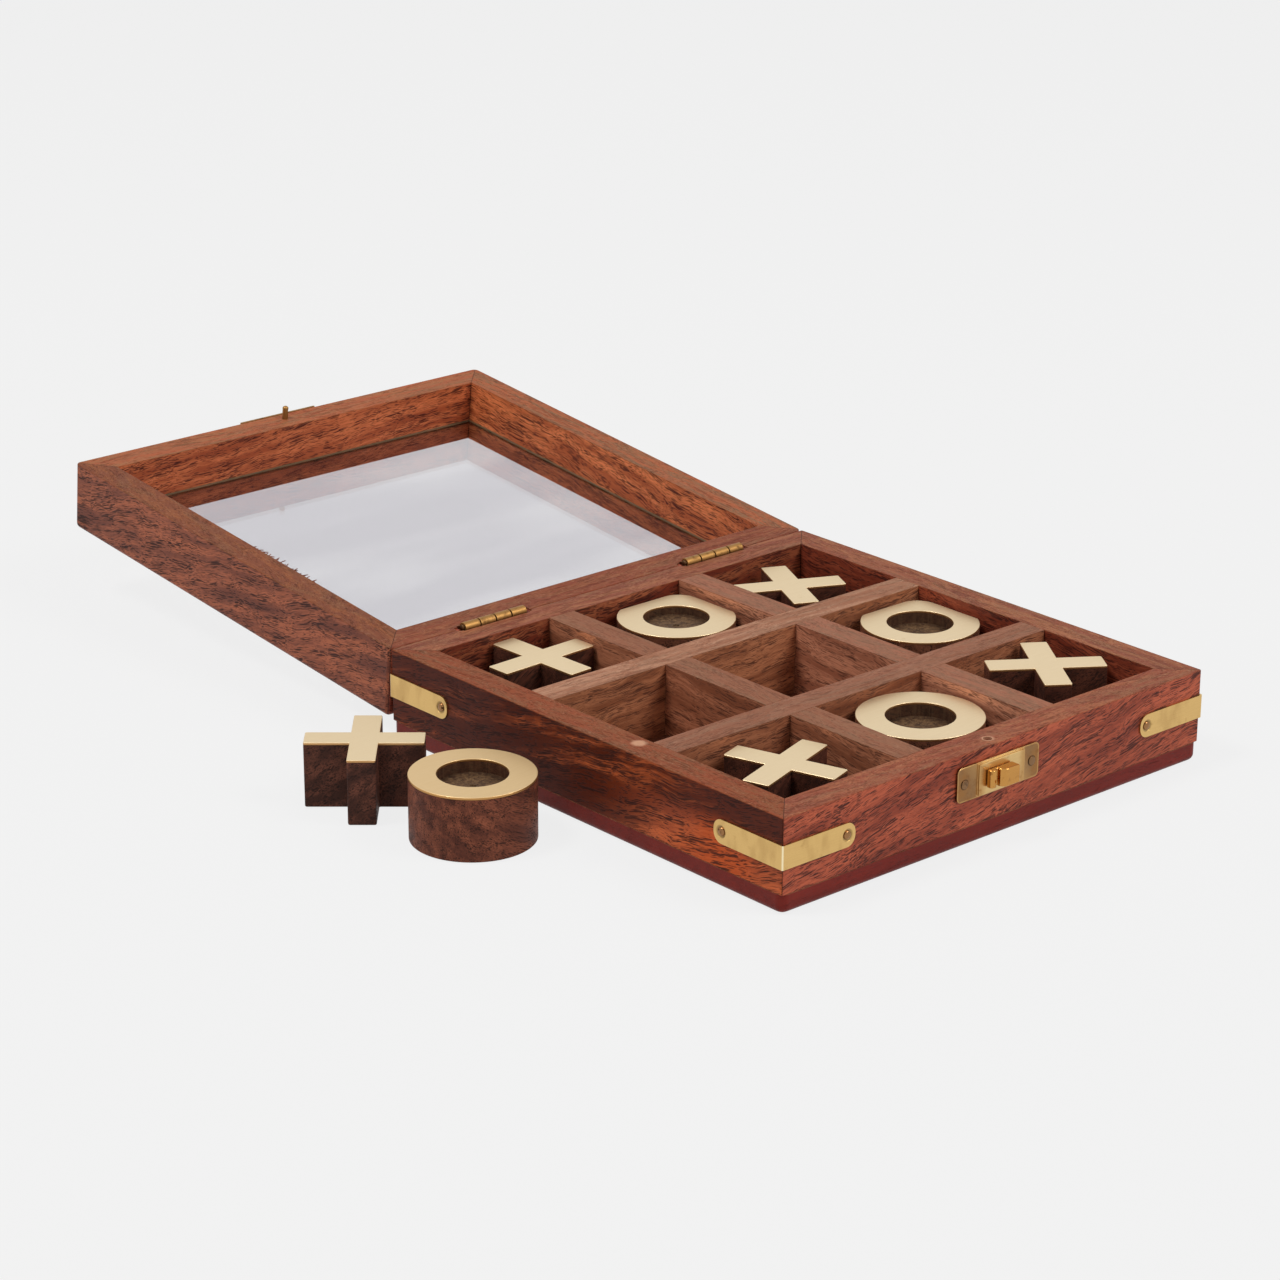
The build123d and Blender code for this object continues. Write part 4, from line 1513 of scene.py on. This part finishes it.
@dataclass
class Hinges:
    """Two small butt hinges: rolled knuckles, let-in leaves and headed pins.

    Attributes:
        knuckles: Knuckles on one hinge.
        gap: Gap between neighbouring knuckles.
        wall: Thickness of the rolled sheet.
        crook: Radius of the leaves' corners.
        pin_head: Height of the pins' domed heads.
        pin_share: Radius of the pins as a share of their heads'.
    """

    knuckles: int = 4
    gap: float = 0.0004
    wall: float = 0.00045
    crook: float = 0.0008
    pin_head: float = 0.0004
    pin_share: float = 0.72

    def build(self, finish: bpy.types.Material, pin_finish: bpy.types.Material) -> None:
        """Make the leaves and the pins."""
        for side in ("left", "right"):
            for part, turn, own in (("box", -1, (0, 2)), ("lid", 1, (1, 3))):
                node = f"hinge_{side}_{part}_leaf"
                leaf = self.leaf(node, turn, own)
                if part == "lid":
                    leaf.move(LidHinge.opening)
                leaf.stand_for(node, finish)
        pins = [self.pin(*corners) for corners in shells("hinge_pins")]
        pins[0].join(*pins[1:]).stand_for("hinge_pins", pin_finish)

    def leaf(self, node: str, turn: int, own: tuple[int, ...]) -> Bench:
        """One leaf on the shut box.

        Args:
            node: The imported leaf.
            turn: -1 where the leaf hangs down on the box, 1 where it stands up on the lid.
            own: Which knuckles are its own, from the left.

        Returns:
            The leaf on the bench.
        """
        low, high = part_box(node) if turn < 0 else LidHinge.shut_box(node)
        axis = LidHinge.axis
        radius = high.y - axis.y
        back = outer_half()
        reach = (axis.z - low.z) if turn < 0 else (high.z - axis.z)
        pitch = (high.x - low.x) / self.knuckles
        near, far = axis.z + turn * radius * 1.2, axis.z + turn * reach
        plate = Bench.block("leaf", (low.x, back - self.wall, min(near, far)), (high.x, back, max(near, far)))
        plate.choose(Kind.EDGE, lambda start, end: square(start, end, BACKWARDS)
                     and abs(start.z - far) < NEARLY).bevel(self.crook, 4)
        plate.soften(0.00006, 2, 60.0)
        for index in own:
            left = low.x + index * pitch + self.gap / 2
            right = left + pitch - self.gap
            bore_ends = placed(axis, x=left - SPARE), placed(axis, x=right + SPARE)
            roll = Bench.round_bar("roll", placed(axis, x=left), placed(axis, x=right), radius, 26)
            roll.carve(Bench.round_bar("bore", *bore_ends, radius - self.wall * 1.6, 20))
            roll.soften(0.00012, 2, 60.0)
            web = Bench.block("web", (left, back - self.wall, min(axis.z, near)),
                              (right, back, max(axis.z, near)))
            web.carve(Bench.round_bar("bore", *bore_ends, radius - self.wall * 0.5, 20))
            plate.join(roll, web)
        return plate

    def pin(self, low: Vector, high: Vector) -> Bench:
        """One pin with its two heads."""
        centre, radius = (low + high) / 2, (high.z - low.z) / 2
        ends = [placed(centre, x=low.x + self.pin_head), placed(centre, x=high.x - self.pin_head)]
        shank = Bench.round_bar("pin", *ends, radius * self.pin_share, 18)
        heads = [Bench.ball("head", end, (self.pin_head, radius, radius), 18) for end in ends]
        return shank.join(*heads)


def block_tones(pale: Colour, deep: Colour, tilt: float, pores: Colour = srgb(38, 22, 17)) -> Tones:
    """Colours of a game piece's wooden body."""
    return Tones(pale, deep, pores, density=0.45, tilt=tilt, shine=0.12)


@dataclass
class GamePiece:
    """Dark wooden body under a brass plate.

    Attributes:
        name: Name of the piece.
        tones: Colours of its wood.
        brass: Colour of its plate.
        seed: Offset of its grain.
        plate_edge: Softening of the plate's edges.
    """

    name: str
    tones: Tones = block_tones(srgb(130, 82, 60), srgb(84, 50, 37), -24.0)
    brass: Colour = srgb(229, 207, 168)
    seed: float = 0.0
    plate_edge: float = 0.00016

    def wood_settings(self, shift: float) -> dict:
        """Settings of the body's finish.

        Args:
            shift: Offset of the grain that sets one kind of piece apart from the other.

        Returns:
            Arguments for Wood.
        """
        return dict(name=self.name + "_wood", tones=self.tones, gloss=0.5, coat=0.0, sway=0.005,
                    seed=self.seed + shift)

    def soften_plate(self, plate: Bench) -> Bench:
        """Take the sharpness off a plate's edges."""
        return plate.soften(self.plate_edge, 3, 60.0)

    def fit_plate(self, plate: Bench, top: float) -> None:
        """Finish a plate whose upper face lies at a height."""
        finish = PieceBrass(f"piece_brass_{round(top * 10000)}", self.brass, srgb(192, 158, 98), 0.22,
                            0.4, metal=0.85, stain_size=150.0, top=top)
        plate.stand_for(self.name + "_plate", finish.make())


@dataclass
class Cross(GamePiece):
    """Wooden cross with a brass plate on top.

    Attributes:
        turn: Turn on the board in degrees.
        arm: Width of its arms.
        corner: Rounding of the body's upright corners.
        plate_corner: The same on the plate.
        foot: Rounding of the edges that it stands on.
        rough: How far handwork moved the body's corners.
    """

    tones: Tones = block_tones(srgb(100, 58, 44), srgb(58, 32, 24), 28.0)
    turn: float = 0.0
    arm: float = 0.0074
    corner: float = 0.00055
    plate_corner: float = 0.00045
    foot: float = 0.00045
    rough: float = 0.00008

    def build(self) -> None:
        """Make the body and the plate."""
        body_low, body_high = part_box(self.name + "_body")
        plate_low, plate_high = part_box(self.name + "_plate")
        angle = math.radians(abs(self.turn))
        span = (body_high.x - body_low.x - self.arm * math.sin(angle)) / math.cos(angle)
        centre = (body_low + body_high) / 2
        body = self.outline("body", span, body_high.z - body_low.z, self.corner)
        body.choose(Kind.EDGE, lambda start, end: max(start.z, end.z) < EXACT).bevel(self.foot, 3)
        body.unevenness(self.rough, round(self.seed * 10))
        turn = Matrix.Rotation(math.radians(self.turn), 4, "Z")
        finish = Wood(**self.wood_settings(4.0))
        body.move(Matrix.Translation(placed(centre, z=body_low.z)) @ turn)
        body.stand_for(self.name + "_body", finish.make())
        plate = self.outline("plate", span, plate_high.z - plate_low.z, self.plate_corner)
        self.soften_plate(plate).move(Matrix.Translation(placed(centre, z=plate_low.z)) @ turn)
        self.fit_plate(plate, plate_high.z)

    def outline(self, name: str, span: float, height: float, corner: float) -> Bench:
        """Cross of a height, standing on the origin, its outer corners softened."""
        half = self.arm / 2
        cross = Bench.block(name, (-half, -half, 0), (half, half, height))
        for side in Side:
            cross.choose(Kind.FACE, lambda place, normal, side=side: facing(normal, side.out)
                         and abs(place.dot(side.along)) < EXACT)
            cross.push(side.out * (span / 2 - half))
        cross.choose(Kind.EDGE, lambda start, end: square(start, end, UPWARDS)
                     and start.xy.length > span / 2 - EXACT).bevel(corner, 3)
        return cross


@dataclass
class Ring(GamePiece):
    """Wooden disc with a drilled recess under a brass ring.

    Attributes:
        sanded: How much is sanded off towards +X and +Y.
        recess: Depth of the recess below the brass.
        bore: Radius of the recess.
        flat_corner: Radius between the two sanded flats.
        foot: Rounding of the edge that it stands on.
        spur: Radius and depth of the mark that the drill's point left.
    """

    sanded: tuple[float, float] = (0.0, 0.0)
    recess: float = 0.0036
    bore: float = 0.0092
    flat_corner: float = 0.006
    foot: float = 0.0003
    spur: tuple[float, float] = (0.0009, 0.0008)

    def build(self) -> None:
        """Make the body and the plate."""
        low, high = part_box(self.name + "_body")
        plate_low, plate_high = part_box(self.name + "_plate")
        radius = (high.x - low.x + self.sanded[0]) / 2
        centre = Vector((low.x + radius, low.y + radius, 0))
        body = self.disc("body", centre, radius, low.z, high.z)
        body.choose(Kind.EDGE, lambda start, end: max(start.z, end.z) < low.z + EXACT)
        body.bevel(self.foot, 3)
        floor = placed(centre, z=plate_high.z - self.recess)
        wide, deep = self.spur
        body.carve(Bench.round_bar("recess", floor, placed(centre, z=high.z + SPARE), self.bore, 72),
                   Bench.ball("spur", floor, (wide, wide, deep), 20))
        finish = RecessedWood(**self.wood_settings(7.0), bore=self.bore,
                              bore_centre=tuple(placed(centre, z=high.z)))
        body.stand_for(self.name + "_body", finish.make())
        plate = self.disc("plate", centre, radius, plate_low.z, plate_high.z)
        plate.carve(Bench.round_bar("hole", placed(centre, z=plate_low.z - SPARE),
                                    placed(centre, z=plate_high.z + SPARE), self.bore, 72))
        self.fit_plate(self.soften_plate(plate), plate_high.z)

    def disc(self, name: str, centre: Vector, radius: float, low: float, high: float) -> Bench:
        """Disc between two heights, with the flats that were sanded on it."""
        disc = Bench.round_bar(name, placed(centre, z=low), placed(centre, z=high), radius, 96)
        if not any(self.sanded):
            return disc
        flat = Vector((radius - self.sanded[0], radius - self.sanded[1], 0))
        disc.slice(centre + placed(flat, y=0), RIGHTWARDS)
        disc.slice(centre + placed(flat, x=0), BACKWARDS)
        corner = Bench.block("corner", placed(centre, z=low), placed(centre + flat, z=high))
        corner.choose(Kind.EDGE, lambda start, end: square(start, end, UPWARDS)
                      and (start.xy - (centre + flat).xy).length < EXACT).bevel(self.flat_corner, 12)
        return disc.join(corner).wrap()


@dataclass(frozen=True)
class RecessedWood(Wood):
    """Wood of a ring, rough and scored where the drill cut its recess, with painted shade towards its walls.

    Attributes:
        bore_centre: Middle of the recess at the body's top.
        bore: Radius of the recess.
    """

    bore_centre: tuple[float, float, float] = (0.0, 0.0, 0.0)
    bore: float = 0.0092

    def worn(self, shader: Shader, place: Term, colour: Term) -> Term:
        """Blend in the drilled floor, darkened by painted shade towards the recess's walls."""
        x, y, z = shader.split(shader.mapped(place, tuple(-part for part in self.bore_centre)))
        away = shader.distance(x, y)
        inside = away.ramp(self.bore + 0.0002, self.bore - 0.0001) * z.ramp(0.0002, -0.0001)
        spin = shader.node("ShaderNodeMath", {"operation": "ARCTAN2"}, {0: y, 1: x})
        turns = shader.node("ShaderNodeCombineXYZ", None, {0: spin * 3.0, 1: away * 260.0, 2: 0.0}, "Vector")
        scores = shader.noise(turns, 3.2, 3.0, 0.7)
        rough = shader.noise(place, 700.0, 4.0, 0.7)
        floor = shader.mix(rough.ramp(0.35, 0.68), Stain.DRILLED_DARK.colour,
                           Stain.DRILLED_PALE.colour)
        floor = shader.mix(scores.ramp(0.5, 0.66) * 0.5, floor, Stain.DRILL_SCORE.colour)
        # Painted shade: the floor darkens towards the walls, and the walls themselves darken.
        floor = shader.mix(away.ramp(self.bore * 0.55, self.bore) * 0.55, floor, Stain.DRILL_EDGE.colour)
        return shader.mix(inside, colour, floor)


@dataclass(frozen=True)
class Lamp:
    """Soft square lamp that faces the box.

    Attributes:
        name: Name of the lamp.
        place: Where it hangs.
        size: Length of its sides.
        watts: Its power.
        aim: Point that it faces.
    """

    name: str
    place: tuple[float, float, float]
    size: float
    watts: float
    aim: tuple[float, float, float] = (0.0, 0.05, 0.0)

    def build(self) -> None:
        """Hang the lamp."""
        data = bpy.data.lights.new(self.name, "AREA")
        data.shape = "SQUARE"
        data.size = self.size
        data.energy = self.watts
        lamp = bpy.data.objects.new(self.name, data)
        lamp.location = self.place
        lamp.rotation_euler = (Vector(self.aim) - Vector(self.place)).to_track_quat("-Z", "Y").to_euler()
        bpy.context.collection.objects.link(lamp)


@dataclass
class Studio:
    """Pale floor, soft lights and the camera at the photograph's viewing angle.

    Attributes:
        azimuth: Camera's turn round the box in degrees, 0 looking along +Y.
        elevation: Camera's height above the horizon in degrees.
        distance: Metres from the camera to its target.
        target: Point that the lens axis passes through.
        lens: Focal length in mm.
        sensor: Width of the camera's sensor in mm.
        shift: Sideways shift of the lens that the photograph's framing needs.
        backdrop: Colour that the camera sees behind the object.
        fill: Strength of the light from all round.
        floor_radius: Radius of the floor.
        floor_drop: How far the floor lies below the object's foot.
        floor_blend: Share of the backdrop's own colour in the floor, the rest being lit paint.
        lamps: The lamps.
    """

    azimuth: float = -40.9352
    elevation: float = 20.4121
    distance: float = 0.9836
    target: tuple[float, float, float] = (-0.0282, 0.044, 0.0255)
    lens: float = 102.77
    sensor: float = 36.0
    shift: float = 0.0276
    backdrop: Colour = field(default_factory=lambda: srgb(240, 240, 240))
    fill: float = 0.48
    floor_radius: float = 3.0
    floor_drop: float = 0.0002
    floor_blend: float = 0.94
    lamps: tuple[Lamp, ...] = (Lamp("top_lamp", (-0.8, 0.3, 1.45), 0.4, 14.5),
                               Lamp("front_lamp", (0.6, -1.1, 1.25), 0.7, 15.0))

    def camera(self) -> None:
        """Create the camera and make it the scene's own."""
        turn, rise = math.radians(self.azimuth), math.radians(self.elevation)
        back = Vector((math.sin(turn) * math.cos(rise), -math.cos(turn) * math.cos(rise), math.sin(rise)))
        data = bpy.data.cameras.new("camera")
        data.lens = self.lens
        data.sensor_width = self.sensor
        data.shift_x = self.shift
        data.clip_start = 0.01
        camera = bpy.data.objects.new("camera", data)
        camera.location = Vector(self.target) + back * self.distance
        camera.rotation_euler = (-back).to_track_quat("-Z", "Y").to_euler()
        bpy.context.collection.objects.link(camera)
        bpy.context.scene.camera = camera

    def seen_or_lit(self, tree: bpy.types.NodeTree, lit: bpy.types.NodeSocket,
                    seen: bpy.types.NodeSocket, out: bpy.types.NodeSocket) -> None:
        """Show one shader to the camera, to reflections and through glass, and another to all else."""
        path = tree.nodes.new("ShaderNodeLightPath")
        looked_at = path.outputs["Is Camera Ray"]
        for ray in ("Is Glossy Ray", "Is Transmission Ray"):
            either = tree.nodes.new("ShaderNodeMath")
            either.operation = "MAXIMUM"
            tree.links.new(looked_at, either.inputs[0])
            tree.links.new(path.outputs[ray], either.inputs[1])
            looked_at = either.outputs[0]
        mix = tree.nodes.new("ShaderNodeMixShader")
        for source, socket in zip((looked_at, lit, seen), mix.inputs):
            tree.links.new(source, socket)
        tree.links.new(mix.outputs[0], out)

    def world(self) -> None:
        """Fill light all round, with the pale backdrop where it is seen."""
        world = bpy.data.worlds.new("surround")
        world.use_nodes = True
        tree = world.node_tree
        lit = tree.nodes["Background"]
        lit.inputs[0].default_value = (1.0, 0.99, 0.98, 1)
        lit.inputs[1].default_value = self.fill
        seen = tree.nodes.new("ShaderNodeBackground")
        seen.inputs[0].default_value = self.backdrop
        self.seen_or_lit(tree, lit.outputs[0], seen.outputs[0], tree.nodes["World Output"].inputs[0])
        bpy.context.scene.world = world

    def floor(self) -> None:
        """Wide pale floor that keeps the object's soft shadow."""
        Bench.clear()
        bpy.ops.mesh.primitive_circle_add(vertices=96, radius=self.floor_radius, fill_type="NGON",
                                          location=(0, 0, -self.floor_drop))
        ground = bpy.context.active_object
        ground.name = "floor"
        shader = Shader("floor_paint")
        shader.set(Base_Color=self.backdrop, Roughness=0.9, Specular_IOR_Level=0.1)
        glow = shader.tree.nodes.new("ShaderNodeEmission")
        glow.inputs[0].default_value = self.backdrop
        blend = shader.tree.nodes.new("ShaderNodeMixShader")
        blend.inputs[0].default_value = self.floor_blend
        shader.tree.links.new(shader.principled.outputs[0], blend.inputs[1])
        shader.tree.links.new(glow.outputs[0], blend.inputs[2])
        self.seen_or_lit(shader.tree, shader.principled.outputs[0], blend.outputs[0],
                         shader.output.inputs[0])
        ground.data.materials.append(shader.material)

    def build(self) -> None:
        """Set up the whole studio."""
        self.camera()
        self.world()
        self.floor()
        for lamp in self.lamps:
            lamp.build()
        bpy.context.scene.view_settings.view_transform = "Standard"


def main() -> None:
    """Build the studio and the object, and report each piece."""
    logging.basicConfig(level=logging.INFO, format="%(message)s")
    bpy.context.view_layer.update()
    Studio().build()
    BoxBody().build()
    Lid().build()

    latch = Latch()
    nail = min(shells("strap_nails"), key=lambda corners: corners[0].x)
    nail_middle = (nail[0] + nail[1]) / 2
    nail_place = min(abs(nail_middle.x), abs(nail_middle.y)), nail_middle.z
    strap_brass = StrapBrass("strap_brass", srgb(220, 182, 116), srgb(160, 118, 66), 0.4, 0.3,
                             stain_size=260.0, half=outer_half(), nail=nail_place).make()
    plate_nails = [(low + high) / 2 for low, high in shells("latch_nails")]
    plate_brass = PlateBrass("latch_plate_brass", srgb(216, 182, 124), srgb(140, 92, 48), 0.7, 0.3,
                             stain_size=420.0, ends=srgb(126, 94, 66), middle=-0.0012, half_pad=0.0082,
                             floor=latch.floor, nails=tuple((nail.x, nail.z) for nail in plate_nails)).make()
    finishes = {brass.name: brass.make() for brass in (
        Brass("knob_brass", srgb(200, 146, 78), srgb(106, 62, 24), 0.5, 0.15, stain_size=500.0),
        Brass("aged_brass", srgb(164, 122, 70), srgb(76, 52, 30), 0.75, 0.45, stain_size=380.0),
        Brass("nail_brass", srgb(158, 116, 76), srgb(54, 36, 26), 0.6, 0.17, stain_size=900.0),
        Brass("plate_nail_brass", srgb(138, 104, 72), srgb(70, 50, 36), 0.6, 0.3, stain_size=700.0),
        # Dark pins: painted shade, standing in for the shaded holes at the ends of the hinge barrels.
        Brass("pin_brass", srgb(96, 70, 46), srgb(40, 28, 20), 0.6, 0.4),
        Brass("spring_steel", srgb(170, 170, 172), srgb(110, 108, 106), 0.2, 0.3),
    )}

    Straps().build(strap_brass)
    latch.build(plate_brass, finishes["knob_brass"])
    Striker().build(finishes["aged_brass"])
    Hinges().build(finishes["aged_brass"], finishes["pin_brass"])
    flat_nails = Nails(dome=0.00015)
    Nails().build("strap_nails", finishes["nail_brass"])
    Nails().build("striker_nails", finishes["nail_brass"], on_lid=True)
    Nails(dome=0.00012, sunk=0.0002).build("latch_nails", finishes["plate_nail_brass"])
    flat_nails.build("box_hinge_nails", finishes["nail_brass"])
    flat_nails.build("lid_hinge_nails", finishes["nail_brass"], on_lid=True)
    for node in ("latch_catch", "latch_spring"):
        dress(node, finishes["spring_steel"])

    pieces = (
        Cross("cross_front_left", turn=18.0, seed=0.1), Cross("cross_front_right", turn=-35.0, seed=0.2),
        Cross("cross_back_left", turn=2.0, seed=0.3), Cross("cross_back_right", turn=-26.0, seed=0.4),
        Cross("cross_loose", turn=-41.0, seed=0.5),
        Ring("ring_back", sanded=(0.0018, 0.002), recess=0.0026, seed=0.1),
        Ring("ring_right", sanded=(0.0024, 0.002), seed=0.2),
        Ring("ring_front", recess=0.0038, seed=0.3),
        Ring("ring_loose", block_tones(srgb(132, 74, 52), srgb(78, 40, 29), -24.0, srgb(46, 24, 17)),
             brass=srgb(220, 189, 139), seed=0.4),
    )
    for piece in pieces:
        piece.build()

    Bench.clear()


if __name__ == "__main__":
    main()
